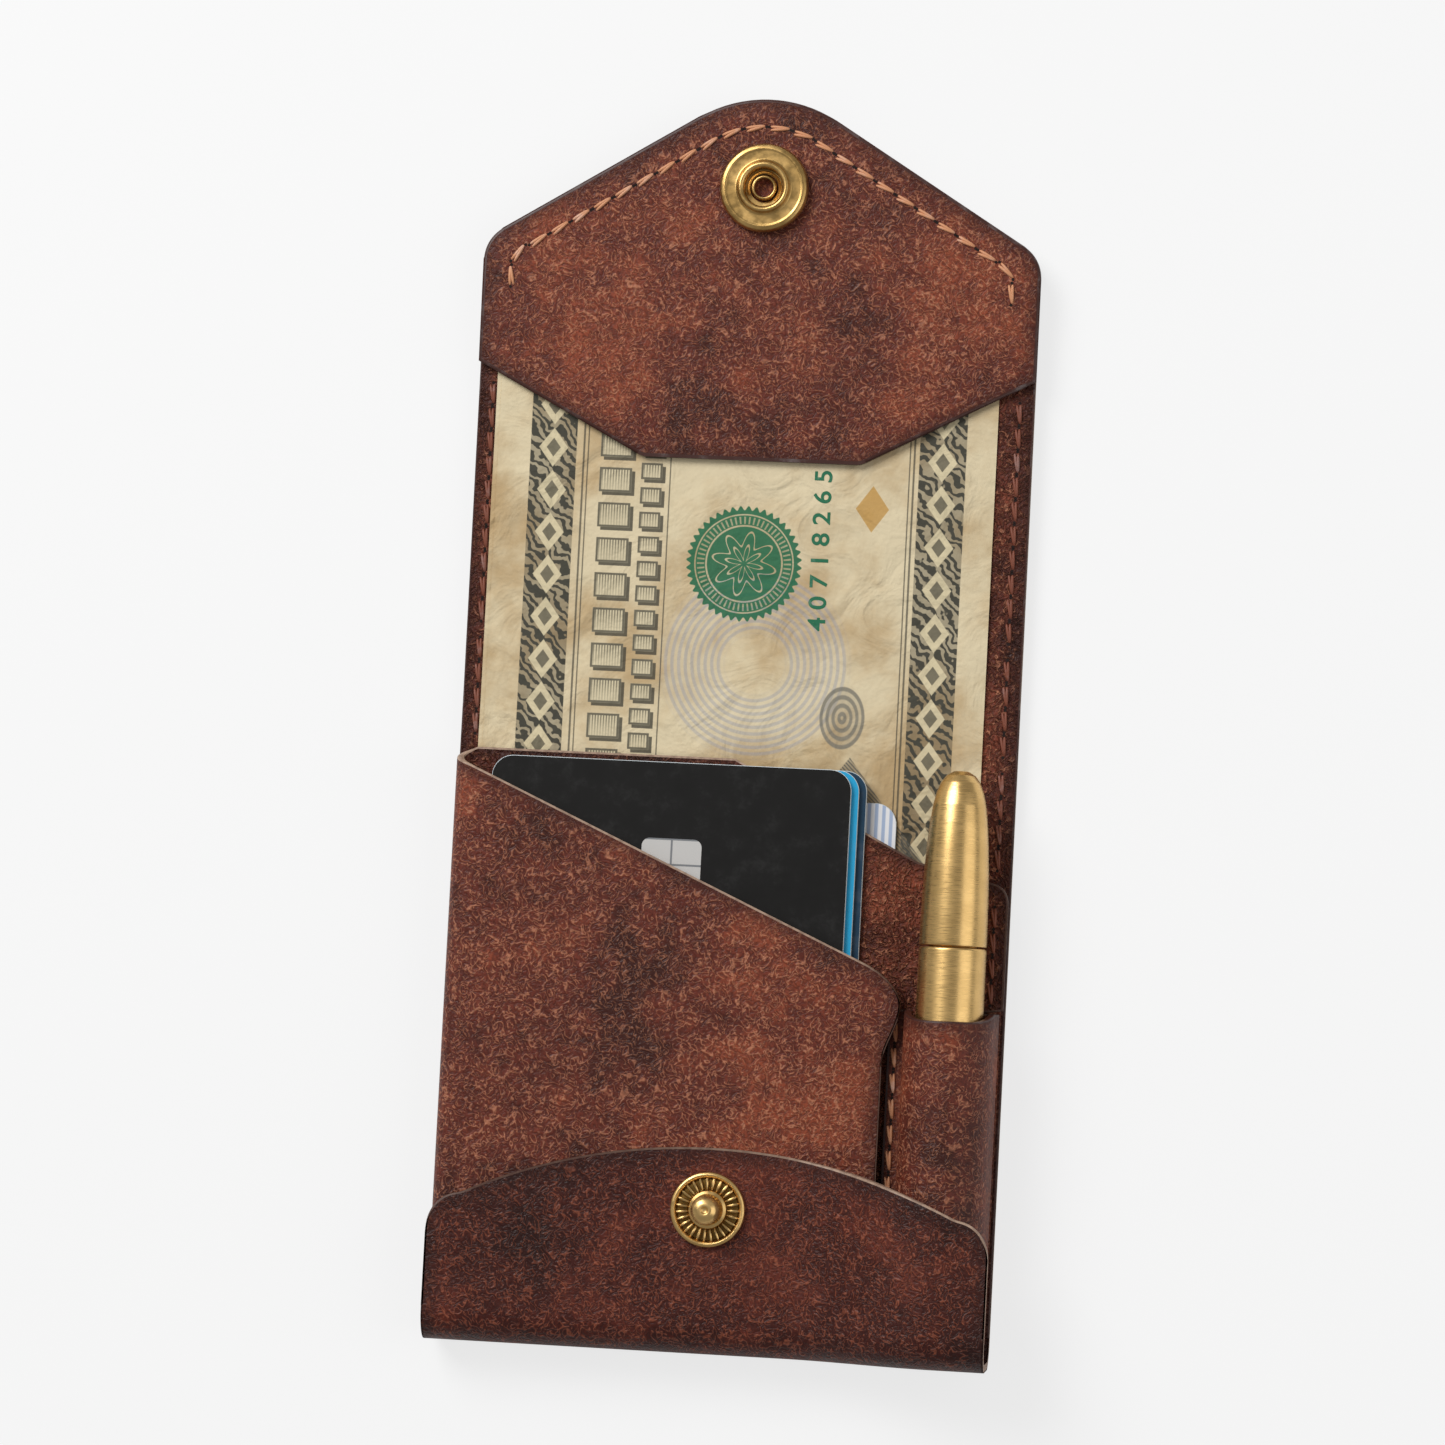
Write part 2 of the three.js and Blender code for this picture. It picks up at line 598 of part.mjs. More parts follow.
function penCap() {
  const y = PEN_SEAM + 0.1;
  const bore = PEN_NECK_R + 0.25;
  const length = PEN_TIP - PEN_SEAM;
  return turnedPen([
    [bore, y],
    [PEN_R, y],
    [PEN_R * 0.99, y + length * 0.12],
    [PEN_R * 0.955, y + length * 0.3],
    [PEN_R * 0.9, y + length * 0.48],
    [PEN_R * 0.83, y + length * 0.65],
    [PEN_R * 0.76, y + length * 0.78],
    [PEN_R * 0.67, y + length * 0.87],
    [PEN_R * 0.53, y + length * 0.94],
    [PEN_R * 0.3, y + length * 0.985],
    [0, PEN_TIP],
    [0, PEN_TIP - 3.2],
    [1.7, PEN_TIP - 3.8],
    [1.7, PEN_SEAM + PEN_NECK_LENGTH + 4.4],
    [bore, PEN_SEAM + PEN_NECK_LENGTH + 0.4],
    [bore, y],
  ]);
}

function penBarrel() {
  const neckEnd = PEN_SEAM + PEN_NECK_LENGTH;
  const bore = PEN_REFILL_R + 0.15;
  return turnedPen([
    [0, PEN_FOOT],
    [PEN_R * 0.55, PEN_FOOT + 0.3],
    [PEN_R * 0.85, PEN_FOOT + 1.2],
    [PEN_R * 0.97, PEN_FOOT + 3],
    [PEN_R, PEN_FOOT + 6],
    [PEN_R, PEN_SEAM - 0.1],
    [PEN_NECK_R, PEN_SEAM - 0.1],
    [PEN_NECK_R, neckEnd],
    [bore + 0.25, neckEnd + 3.6],
    [bore, neckEnd + 3.6],
    [bore, PEN_SEAM - REFILL_DEPTH],
    [0, PEN_SEAM - REFILL_DEPTH],
  ]);
}

function penRefill() {
  const end = PEN_TIP - REFILL_BELOW_TIP;
  const start = PEN_SEAM - REFILL_DEPTH + REFILL_CLEAR;
  return turnedPen([
    [0, start],
    [PEN_REFILL_R, start],
    [PEN_REFILL_R, end - 2.4],
    [0.35, end],
    [0, end],
  ], 16);
}

function snapCap() {
  const top = Z_LINING_TOP + SOCKET_PROUD - 1;
  return turned([
    [0, -CAP_PROUD],
    [CAP_FLAT_R, -CAP_PROUD],
    [CAP_R * 0.7, -CAP_PROUD * 0.82],
    [CAP_R * 0.92, -CAP_PROUD * 0.5],
    [CAP_R, -0.2],
    [CAP_R, 0],
    [POST_R, 0],
    [POST_R, top - 0.3],
    [POST_R - 0.15, top],
    [POST_BORE_R, top],
    [POST_BORE_R, 0.8],
    [0, 0.8],
  ], 0, SOCKET_Y, 36);
}

function snapSocket() {
  const z = Z_LINING_TOP;
  const top = z + SOCKET_PROUD;
  const hole = POST_R + POST_CLEAR;
  return turned([
    [hole, z],
    [SOCKET_R - 0.4, z],
    [SOCKET_R, z + 0.5],
    [SOCKET_R, z + 1.2],
    [SOCKET_R - 0.35, z + 1.75],
    [SOCKET_R - 0.9, z + 1.9],
    [4.1, z + 1.9],
    [3.85, top - 0.35],
    [3.6, top],
    [3.2, top],
    [WELL_R, top - 0.35],
    [WELL_R, z + 0.6],
    [hole, z + 0.6],
    [hole, z],
  ], 0, SOCKET_Y, 36);
}

// The wire ring in the socket's well.
function snapSpring() {
  const radius = (WELL_R + POST_R) / 2;
  const z = Z_LINING_TOP + 1.2;
  const wire = new THREE.Shape().absarc(0, 0, SPRING_R, 0, 2 * Math.PI);
  const flat = new THREE.CatmullRomCurve3(
    Array.from({ length: 17 }, (_, i) => {
      const a = THREE.MathUtils.degToRad(-50 + i * 16);
      return new THREE.Vector3(radius * Math.cos(a), SOCKET_Y + radius * Math.sin(a), z);
    }),
  );
  return solid(new THREE.ExtrudeGeometry(wire, { steps: 24, extrudePath: flat, curveSegments: 2 }));
}

// The stud's ribbed dish with its raised rim and domed post, and its neck through the leather.
function snapStud() {
  const z = Z_TURN_TOP;
  const dome = STUD_DOME_R;
  const top = z + STUD_PROUD;
  const bore = RIVET_PIN_R + 0.15;
  const body = turned([
    [bore, Z_FRONT],
    [STUD_NECK_R, Z_FRONT],
    [STUD_NECK_R, z],
    [STUD_R - 0.3, z],
    [STUD_R, z + 0.35],
    [STUD_R - 0.15, z + 0.85],
    [STUD_R - 0.5, z + 1],
    [STUD_R - 0.85, z + 0.85],
    [STUD_R - 1, z + 0.45],
    [dome + 0.75, z + 0.45],
    [dome + 0.6, z + 0.8],
    [dome + 0.1, z + 1.1],
    [dome - 0.35, z + 2],
    [dome - 0.35, z + 3],
    [dome, z + 3.8],
    [dome - 0.1, z + 4.4],
    [dome - 0.6, z + 5],
    [1, top],
    [0.5, top],
    [0.25, top - 0.3],
    [0, top - 0.3],
    [0, z + 2.4],
    [bore, z + 2.2],
    [bore, Z_FRONT],
  ], 0, STUD_Y, STUD_RIBS);
  const ribs = Array.from({ length: STUD_RIBS }, (_, i) => {
    const rib = new THREE.BoxGeometry(STUD_R - dome - 1.2, 0.34, 0.4);
    rib.translate((STUD_R + dome) / 2 - 0.05, 0, z + 0.55);
    rib.rotateZ((2 * Math.PI * i) / STUD_RIBS);
    return solid(rib.translate(0, STUD_Y, 0));
  });
  return body.add(join(ribs));
}

function studRivet() {
  const z = Z_CARDS_TOP + 0.2;
  return turned([
    [0, z],
    [RIVET_R - 0.3, z],
    [RIVET_R, z + 0.2],
    [RIVET_R, Z_FRONT - 0.1],
    [RIVET_PIN_R, Z_FRONT - 0.1],
    [RIVET_PIN_R, Z_TURN_TOP + 1.6],
    [0, Z_TURN_TOP + 1.9],
  ], 0, STUD_Y, 24);
}

// Materials: each mesh has its own.
const LEATHER = [0x6b3626, 0.62, 0];
const LINER = [0x743d2a, 0.7, 0];
const THREAD = [0xc98d66, 0.8, 0];
const PAPER = [0xdccdaa, 0.9, 0];
const BRASS = [0xb8985a, 0.35, 0.9];
const STEEL = [0xb9b6ae, 0.3, 0.9];

const wallet = new THREE.Group();

// Adds one named piece, moved so that the finished box is centred on the origin.
function place(name, manifold, [color, roughness, metalness], parent) {
  const mesh = manifold.getMesh();
  const geometry = new THREE.BufferGeometry();
  const positions = new THREE.BufferAttribute(new Float32Array(mesh.vertProperties), 3);
  geometry.setAttribute('position', positions);
  geometry.setIndex(new THREE.BufferAttribute(new Uint32Array(mesh.triVerts), 1));
  geometry.computeVertexNormals();
  const piece = new THREE.Mesh(
    geometry,
    new THREE.MeshStandardMaterial({ color, roughness, metalness }),
  );
  piece.name = name;
  parent.add(piece);
}

// Every group below shares the wallet's coordinates, and the flap's turns about its crease.
const pocketBody = new THREE.Group();
const spineBody = new THREE.Group();
const flapBody = new THREE.Group();
const flapPieces = new THREE.Group();
flapPieces.position.set(0, -CREASE_HIGH, -Z_CREASE);
flapBody.add(flapPieces);
flapBody.position.set(0, CREASE_HIGH, Z_CREASE);
flapBody.rotation.x = FLAP_TILT;
const laid = new THREE.Group();
laid.add(pocketBody, spineBody, flapBody);
wallet.add(laid);

const backEnd = CREASE_LOW - CREASE_GAP / 2;
const spineStart = CREASE_LOW + CREASE_GAP / 2;
const spineEnd = CREASE_HIGH - CREASE_GAP / 2;
const flapStart = CREASE_HIGH + CREASE_GAP / 2;

place('outer_back', outerBack(), LEATHER, pocketBody);
place('liner_back', linerBack(), LINER, pocketBody);
place('pocket_leather', pocketLeather(), LEATHER, pocketBody);
place(
  'welt_right',
  block(HALF - WELT_IN - WELT_WIDTH, HALF - WELT_IN, POCKET_FOOT, DIVIDER_TOP - WELT_BELOW_DIVIDER, Z_NOTE, Z_DIVIDER),
  LINER,
  pocketBody,
);
place('note_under_back', note(true, NOTE_FOOT, backEnd), PAPER, pocketBody);
place('note_top_back', note(false, NOTE_FOOT, backEnd), PAPER, pocketBody);
place(
  'card_small',
  cardAt(SMALL_CARD_AT[0] - HALF, SMALL_CARD_AT[1], SMALL_CARD, Z_CREASE, SMALL_CARD_T),
  [0xe9ecf0, 0.4, 0],
  pocketBody,
);
place('card_navy', card(0), [0x123a54, 0.35, 0], pocketBody);
place('card_blue', card(1), [0x3fb2dd, 0.35, 0], pocketBody);
place('card_black', card(2).subtract(chip(0.05)), [0x1b1d1b, 0.4, 0], pocketBody);
place('card_chip', chip(0), [0xc9cbcc, 0.35, 0.8], pocketBody);
place('pen_barrel', penBarrel(), BRASS, pocketBody);
place('pen_refill', penRefill(), STEEL, pocketBody);
place('pen_cap', penCap(), BRASS, pocketBody);
place('snap_stud', snapStud(), BRASS, pocketBody);
place('stud_rivet', studRivet(), BRASS, pocketBody);
place('thread_left_back', seamThread('left_back'), THREAD, pocketBody);
place('thread_right_back', seamThread('right_back'), THREAD, pocketBody);
place('thread_pocket_side', stitches(pocketSidePath(), Z_CARDS), THREAD, pocketBody);
place(
  'thread_sleeve',
  stitches(sleevePath(), Z_CARDS + SLIP + POCKET_T),
  THREAD,
  pocketBody,
);

place('outer_spine', spineSheet(0, Z_LINER), LEATHER, spineBody);
place('liner_spine', withSeamGrooves(spineSheet(Z_LINER, Z_NOTE), 'spine'), LINER, spineBody);
place('note_under_spine', note(true, spineStart, spineEnd), PAPER, spineBody);
place('note_top_spine', note(false, spineStart, spineEnd), PAPER, spineBody);
place('thread_left_spine', seamThread('left_spine'), THREAD, spineBody);
place('thread_right_spine', seamThread('right_spine'), THREAD, spineBody);

place('outer_flap', flapSheet(0, Z_LINER), LEATHER, flapPieces);
place('liner_flap', withSeamGrooves(flapSheet(Z_LINER, Z_NOTE), 'flap'), LINER, flapPieces);
place('flap_lining', flapLining(), LEATHER, flapPieces);
place('note_under_flap', note(true, flapStart, NOTE_TOP), PAPER, flapPieces);
place('note_top_flap', note(false, flapStart, NOTE_TOP), PAPER, flapPieces);
place('thread_left_flap', seamThread('left_flap'), THREAD, flapPieces);
place('thread_right_flap', seamThread('right_flap'), THREAD, flapPieces);
place('thread_flap', stitches(flapSeamPath(), Z_LINING_TOP), THREAD, flapPieces);
place('snap_cap', snapCap(), BRASS, flapPieces);
place('snap_socket', snapSocket(), BRASS, flapPieces);
place('snap_spring', snapSpring(), STEEL, flapPieces);

// Centre the box on X and Y, with its underside at Z = 0.
wallet.updateMatrixWorld(true);
const box = new THREE.Box3().setFromObject(wallet, true);
laid.position.set(-(box.min.x + box.max.x) / 2, -(box.min.y + box.max.y) / 2, 0);
wallet.updateMatrixWorld(true);

export default wallet;
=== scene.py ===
"""Dresses a brown leather snap wallet that lies open on its back.

Each leather sheet is drawn as a surface, given its thickness and rounded along its rims. Sheets
that cross a crease are two pieces that meet in the middle of the spine, each with rows of edges
about one crease; the upper one is bent over the flap's crease. Lengths named in the properties
are in metres; the outlines are in millimetres from the bottom fold, as a maker would measure them.
"""

import json
import math

import bmesh
import bpy
from mathutils import Matrix, Vector
from mathutils.kdtree import KDTree


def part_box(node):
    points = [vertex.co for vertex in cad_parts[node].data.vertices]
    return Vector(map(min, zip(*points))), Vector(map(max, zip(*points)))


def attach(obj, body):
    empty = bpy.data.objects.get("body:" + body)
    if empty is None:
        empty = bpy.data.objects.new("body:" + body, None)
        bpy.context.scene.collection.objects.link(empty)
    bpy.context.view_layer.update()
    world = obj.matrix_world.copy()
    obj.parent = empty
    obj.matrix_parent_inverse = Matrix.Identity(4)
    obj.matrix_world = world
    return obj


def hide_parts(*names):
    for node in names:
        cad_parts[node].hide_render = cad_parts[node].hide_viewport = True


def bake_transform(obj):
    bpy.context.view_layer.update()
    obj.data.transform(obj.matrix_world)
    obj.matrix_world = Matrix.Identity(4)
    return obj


bl_info = {
    "name": "Leather snap wallet",
    "version": (1, 0, 0),
    "blender": (4, 5, 0),
    "location": "View3D > Sidebar > Wallet",
    "description": "Builds the looks of a leather snap wallet on its CAD frame",
    "category": "Object",
}

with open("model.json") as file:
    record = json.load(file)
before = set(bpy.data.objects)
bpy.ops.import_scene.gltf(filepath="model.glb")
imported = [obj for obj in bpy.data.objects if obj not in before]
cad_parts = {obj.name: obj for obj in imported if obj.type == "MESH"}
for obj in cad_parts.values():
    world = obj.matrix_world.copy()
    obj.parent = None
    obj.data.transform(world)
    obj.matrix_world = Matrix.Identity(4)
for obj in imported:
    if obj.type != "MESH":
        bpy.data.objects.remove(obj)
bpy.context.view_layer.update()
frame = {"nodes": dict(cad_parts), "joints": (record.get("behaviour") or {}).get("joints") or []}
CREASES = {joint["name"]: joint["pos_m"] for joint in frame["joints"]}

MM = 0.001
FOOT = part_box("outer_back")[0][1] / MM  # the bottom fold, in the row frame
CREASE_LOW = CREASES["spine_crease"][1] / MM - FOOT
CREASE_HIGH = CREASES["flap_crease"][1] / MM - FOOT
MID_SPINE = (CREASE_LOW + CREASE_HIGH) / 2
Z_CREASE = CREASES["flap_crease"][2] / MM
HALF = 42.0  # half the wallet's width
CAP_RISE, CAP_REACH = 1.2, 66.0  # the snap's cap lifts the flap by one, the other off its crease
TILT = math.asin(CAP_RISE / CAP_REACH)
BEND = 1.5  # how far each side of a crease the leather bends
BURNISH = 3.2  # how far in from its rim a sheet is rubbed dark

# Heights of the layers above the table
Z_LINER, Z_NOTE, Z_DIVIDER, Z_CARDS, Z_CARDS_TOP, Z_FRONT = 1.2, 2.1, 3.2, 4.3, 6.7, 7.5
Z_TURN_UP, Z_TURN_TOP, Z_LINING_TOP = 8.8, 10.0, 3.5
STUD_Y, SOCKET_Y, TIP_Y = 21.5, 174.5, 188.0
SLOPE = math.radians(31.7)  # of the flap's pointed end
POINT_R, SHOULDER_R = 19.6, 5.5  # how round its corners are
PEN_X, PEN_Z, PEN_SEAM, PEN_TIP = 34.2, 9.5, 62.0, 88.0
SLEEVE_R, SLEEVE_Z, SLEEVE_TOP = 5.6, 9.2, 52.5
POCKET_FOOT, POCKET_TOP, FRONT_REACH = 3.8, 88.6, 26.8
NOTE_LEFT, NOTE_RIGHT, NOTE_FOOT, NOTE_TOP = -38.5, 36.7, 4.8, 157.0
CARD_WIDTH, CARD_LENGTH, CARD_CORNER = 54.0, 85.6, 3.18
STITCH_PITCH, STITCH_REACH = 3.6, 1.6  # a stitch reaches this far to each side of its middle


# Node helpers ------------------------------------------------------------------------------

# A pattern's Scale is its repeats in a metre, so 500 gives lines about 2 mm apart.
SMOOTH = {"interpolation_type": "SMOOTHSTEP"}
COLOUR = {"out": 2, "data_type": "RGBA"}


def linear(code):
    """The linear colour of an sRGB hex value."""
    parts = [int(code[i : i + 2], 16) / 255 for i in (1, 3, 5)]
    return (*(p / 12.92 if p <= 0.04045 else ((p + 0.055) / 1.055) ** 2.4 for p in parts), 1.0)


def chosen(name):
    """A colour as the user has set it."""
    return tuple(getattr(bpy.context.scene.wallet_colours, name))


def add(tree, kind, inputs=(), out=0, **settings):
    """Adds a node with its settings and links, and gives one of its outputs. The kind may be
    followed by an operation. The inputs are a list, or a dictionary where some are left out."""
    kind, *operation = kind.split()
    made = tree.nodes.new("ShaderNode" + kind)
    if operation:
        made.operation = operation[0]
    for key, value in settings.items():
        setattr(made, key, value)
    for name, value in inputs.items() if isinstance(inputs, dict) else enumerate(inputs):
        if isinstance(value, bpy.types.NodeSocket):
            tree.links.new(value, made.inputs[name])
        else:
            made.inputs[name].default_value = value
    return made.outputs[out] if made.outputs else None


def new_material(name):
    """An empty node material and its tree, with the output waiting for a surface."""
    material = bpy.data.materials.new(name)
    material.use_nodes = True
    tree = material.node_tree
    tree.nodes.clear()
    return material, tree


def finish_material(tree, **inputs):
    """Ends a material in one Principled shader, whose inputs are given with _ for a space."""
    named = {key.replace("_", " "): value for key, value in inputs.items()}
    add(tree, "OutputMaterial", {"Surface": add(tree, "BsdfPrincipled", named)})


def place_at_rest(tree):
    """Where a point of a new piece lies when the wallet is open, so that what is printed or
    grained on it stays put as the piece bends."""
    return add(tree, "Attribute", out=1, attribute_name="rest")


def millimetres(tree):
    """X and Y of the piece in millimetres, Y from the bottom fold, and its coordinates."""
    at = place_at_rest(tree)
    across, up = (add(tree, "SeparateXYZ", [at], out=i) for i in (0, 1))
    x = add(tree, "Math MULTIPLY", [across, 1000.0])
    y = add(tree, "Math MULTIPLY_ADD", [up, 1000.0, -FOOT])
    return x, y, at


def layered(tree, tone, layers):
    """Colours laid one over another, each where its share says."""
    for share, colour in layers:
        tone = add(tree, "Mix", {0: share, 6: tone, 7: colour}, **COLOUR)
    return tone


def heaped(tree, parts):
    """Patterns added up, each times its share."""
    total = 0.0
    for pattern, share in parts:
        total = add(tree, "Math MULTIPLY_ADD", [pattern, share, total])
    return total


def between(tree, value, low, high, soft=0.06):
    """1 where a value in millimetres lies between two others, with soft borders."""
    up = add(tree, "MapRange", [value, low - soft, low + soft], **SMOOTH)
    down = add(tree, "MapRange", [value, high - soft, high + soft, 1.0, 0.0], **SMOOTH)
    return add(tree, "Math MULTIPLY", [up, down])


def ruled(tree, value, half, *shares):
    """Ruled lines, half their pitch given. The shares are where a line's soft border starts and
    ends, and how much ink lies off the line and on it."""
    folded = add(tree, "Math PINGPONG", [value, half])
    return add(tree, "MapRange", [folded, *shares], **SMOOTH)


def off_line(tree, value, middle):
    """How far a value lies from a middle, to either side."""
    off = add(tree, "Math SUBTRACT", [value, middle])
    return add(tree, "Math ABSOLUTE", [off])


def around(tree, x, y, centre, squash=1.0):
    """How far a point lies from a centre, and in which direction."""
    across = add(tree, "Math SUBTRACT", [x, centre[0]])
    up = add(tree, "Math SUBTRACT", [y, centre[1]])
    up = add(tree, "Math MULTIPLY", [up, squash])
    place = add(tree, "CombineXYZ", [across, up])
    far = add(tree, "VectorMath LENGTH", [place], out=1)
    return far, add(tree, "Math ARCTAN2", [up, across])


# Finishes ----------------------------------------------------------------------------------


def strokes(tree, at, offset, scale):
    """Short curled lines about 1.5 mm long, and the furrows between them, to be darkened as painted
    shade: the level lines of a noise, broken by another."""
    moved = add(tree, "VectorMath ADD", [at, offset])
    field = add(tree, "TexNoise", {"Vector": moved, "Scale": scale, "Detail": 1, "Distortion": 0.5})
    steep = add(tree, "Math MULTIPLY", [field, 5.5])
    level = add(tree, "Math PINGPONG", [steep, 0.5])
    broken = add(tree, "TexNoise", {"Vector": moved, "Scale": scale * 1.9, "Detail": 1})
    shown = add(tree, "MapRange", [broken, 0.37, 0.52], **SMOOTH)
    lines = []
    for limits in ((0.01, 0.16, 1.0, 0.0), (0.28, 0.48)):
        line = add(tree, "MapRange", [level, *limits], **SMOOTH)
        lines.append(add(tree, "Math MULTIPLY", [line, shown]))
    return lines


def leather(name, hide, roughness, grain=1.0, bends=True):
    """Vegetable-tanned cowhide, waxed and rubbed: cloudy patches, a mesh of fine curled scratches
    that show paler than the face, with painted shade in the furrows between them, and rims
    burnished dark. It has a soft, broken sheen."""
    material, tree = new_material(name)
    dark, middle, light, fibre = (chosen(f"{hide}_{tone}") for tone in TONES)
    at = place_at_rest(tree) if bends else add(tree, "TexCoord", out=3)
    # Clouds of about 20 mm, with smaller ones of 4 mm in them, and pores of 0.4 mm.
    cloud = add(tree, "TexNoise", {"Vector": at, "Scale": 48, "Detail": 6, "Roughness": 0.62})
    small = add(tree, "TexNoise", {"Vector": at, "Scale": 240, "Detail": 4, "Roughness": 0.6})
    pores = add(tree, "TexNoise", {"Vector": at, "Scale": 2600, "Detail": 2})
    mixed = heaped(tree, [(cloud, 0.72), (small, 0.28)])
    coarse = strokes(tree, at, (0, 0, 0), 500)
    fine = strokes(tree, at, (0.13, 0.07, 0.03), 620)
    line, furrow_shade = (add(tree, "Math MAXIMUM", pair) for pair in zip(coarse, fine))
    worn = add(tree, "Attribute", out=2, attribute_name="worn")
    rubbed = add(tree, "MapRange", [mixed, 0.36, 0.56, 0.42, 0.78], **SMOOTH)
    layers = [
        (add(tree, "MapRange", [mixed, 0.38, 0.5], **SMOOTH), middle),
        (add(tree, "MapRange", [mixed, 0.49, 0.62], **SMOOTH), light),
        # Painted shade: the furrows between the scratches are darkened as the shaded side of the
        # grain's relief, which the bump also carves.
        (add(tree, "Math MULTIPLY", [furrow_shade, 0.38]), dark),
        (add(tree, "Math MULTIPLY", [line, rubbed]), fibre),
        (add(tree, "MapRange", [pores, 0.35, 0.6, 0.45, 0.0], **SMOOTH), dark),
        (add(tree, "MapRange", [worn, 0.0, 1.0, 0.0, 0.7], **SMOOTH), dark),
    ]
    height = heaped(tree, [(line, 0.8), (pores, 0.5), (small, 0.6), (furrow_shade, -0.5)])
    sheen = roughness - 0.07, roughness + 0.08
    finish_material(
        tree,
        Base_Color=layered(tree, dark, layers),
        Roughness=add(tree, "MapRange", [mixed, 0.3, 0.7, *sheen], **SMOOTH),
        Normal=add(tree, "Bump", {"Strength": 0.6 * grain, "Distance": 0.00016, "Height": height}),
        Specular_IOR_Level=0.24,
    )
    return material


def metal(name, deep, pale, roughness, scratch=(900, 900, 900), wear=0.5, relief=0.2):
    """Bare brass or steel: its own colour with darker bloom in patches of 3 mm, and fine lines,
    whose repeats in a metre are given along each axis. It reflects softly, never as a mirror."""
    material, tree = new_material(name)
    at = place_at_rest(tree)
    fine = add(tree, "VectorMath MULTIPLY", [at, scratch])
    lines = add(tree, "TexNoise", {"Vector": fine, "Scale": 1, "Detail": 3})
    bloom = add(tree, "TexNoise", {"Vector": at, "Scale": 300, "Detail": 4})
    clouded = add(tree, "MapRange", [bloom, 0.35, 0.7, wear, 0.0], **SMOOTH)
    sheen = roughness - 0.07, roughness + 0.1
    finish_material(
        tree,
        Base_Color=layered(tree, pale, [(clouded, deep)]),
        Roughness=add(tree, "MapRange", [lines, 0.3, 0.7, *sheen], **SMOOTH),
        Normal=add(tree, "Bump", {"Strength": relief, "Distance": 0.00003, "Height": lines}),
        Metallic=1.0,
    )
    return material


def plain(name, colour, roughness, speck=0.0, shine=0.4):
    """A smooth moulded, dyed or waxed surface with faint handling marks of 4 mm and less."""
    material, tree = new_material(name)
    at = place_at_rest(tree)
    marks = add(tree, "TexNoise", {"Vector": at, "Scale": 260, "Detail": 6, "Roughness": 0.7})
    paler = tuple(part + (1 - part) * 0.35 for part in colour)
    marked = add(tree, "MapRange", [marks, 0.5, 0.75, 0.0, speck], **SMOOTH)
    sheen = roughness - 0.05, roughness + 0.08
    finish_material(
        tree,
        Base_Color=layered(tree, colour, [(marked, paler)]),
        Roughness=add(tree, "MapRange", [marks, 0.3, 0.7, *sheen], **SMOOTH),
        Specular_IOR_Level=shine,
    )
    return material


def cut_edge(name, bare_and_lit_x, burnished):
    """The cut side of a hide: pale at one X in millimetres, bare fibre with a painted highlight
    where the cut side catches the light, and rubbed dark at another. The fibres are about 1 mm
    long."""
    material, tree = new_material(name)
    x, _, at = millimetres(tree)
    fuzz = add(tree, "TexNoise", {"Vector": at, "Scale": 900, "Detail": 3})
    limits = (bare_and_lit_x, burnished, 0.0, 0.85) if bare_and_lit_x < burnished else (burnished, bare_and_lit_x, 0.85, 0.0)
    layers = [
        (add(tree, "MapRange", [fuzz, 0.35, 0.65, 0.0, 0.4], **SMOOTH), chosen("burnished_edge")),
        # Pale towards the first X, where the painted highlight lies, and burnished dark towards the
        # second.
        (add(tree, "MapRange", [x, *limits], **SMOOTH), chosen("burnished_edge")),
    ]
    tone = layered(tree, chosen("cut_edge"), layers)
    finish_material(tree, Base_Color=tone, Roughness=0.5, Specular_IOR_Level=0.3)
    return material


def borders(tree, x, y, at):
    """Two engraved borders with a row of beads down each, and five thin rules."""
    ink, paper, prints = chosen("ink"), linear("#D8CAA6"), []
    wave = {"Vector": at, "Scale": 330, "Distortion": 9, "Detail": 2, "Detail Scale": 1.4}
    fine = add(tree, "TexWave", wave, out=1, bands_direction="DIAGONAL")
    weave = add(tree, "MapRange", [fine, 0.35, 0.65, 0.5, 1.0], **SMOOTH)
    beads = add(tree, "Math PINGPONG", [y, 3.2])
    for low, high in ((-33.6, -26.6), (25.2, 32.2)):
        strip = between(tree, x, low, high)
        prints.append((add(tree, "Math MULTIPLY", [strip, weave]), ink))
        off = off_line(tree, x, (low + high) / 2)
        bead = add(tree, "Math MULTIPLY_ADD", [beads, 0.75, off])
        prints.append((add(tree, "MapRange", [bead, 2.1, 2.3, 0.85, 0.0], **SMOOTH), paper))
        prints.append((add(tree, "MapRange", [bead, 1.0, 1.15, 0.8, 0.0], **SMOOTH), ink))
    rules = ((-25.6, -25.3), (-24.9, -24.7), (-12.3, -12.1), (23.7, 23.9), (24.3, 24.6))
    for low, high in rules:
        rule = between(tree, x, low, high)
        prints.append((add(tree, "Math MULTIPLY", [rule, 0.8]), ink))
    return prints


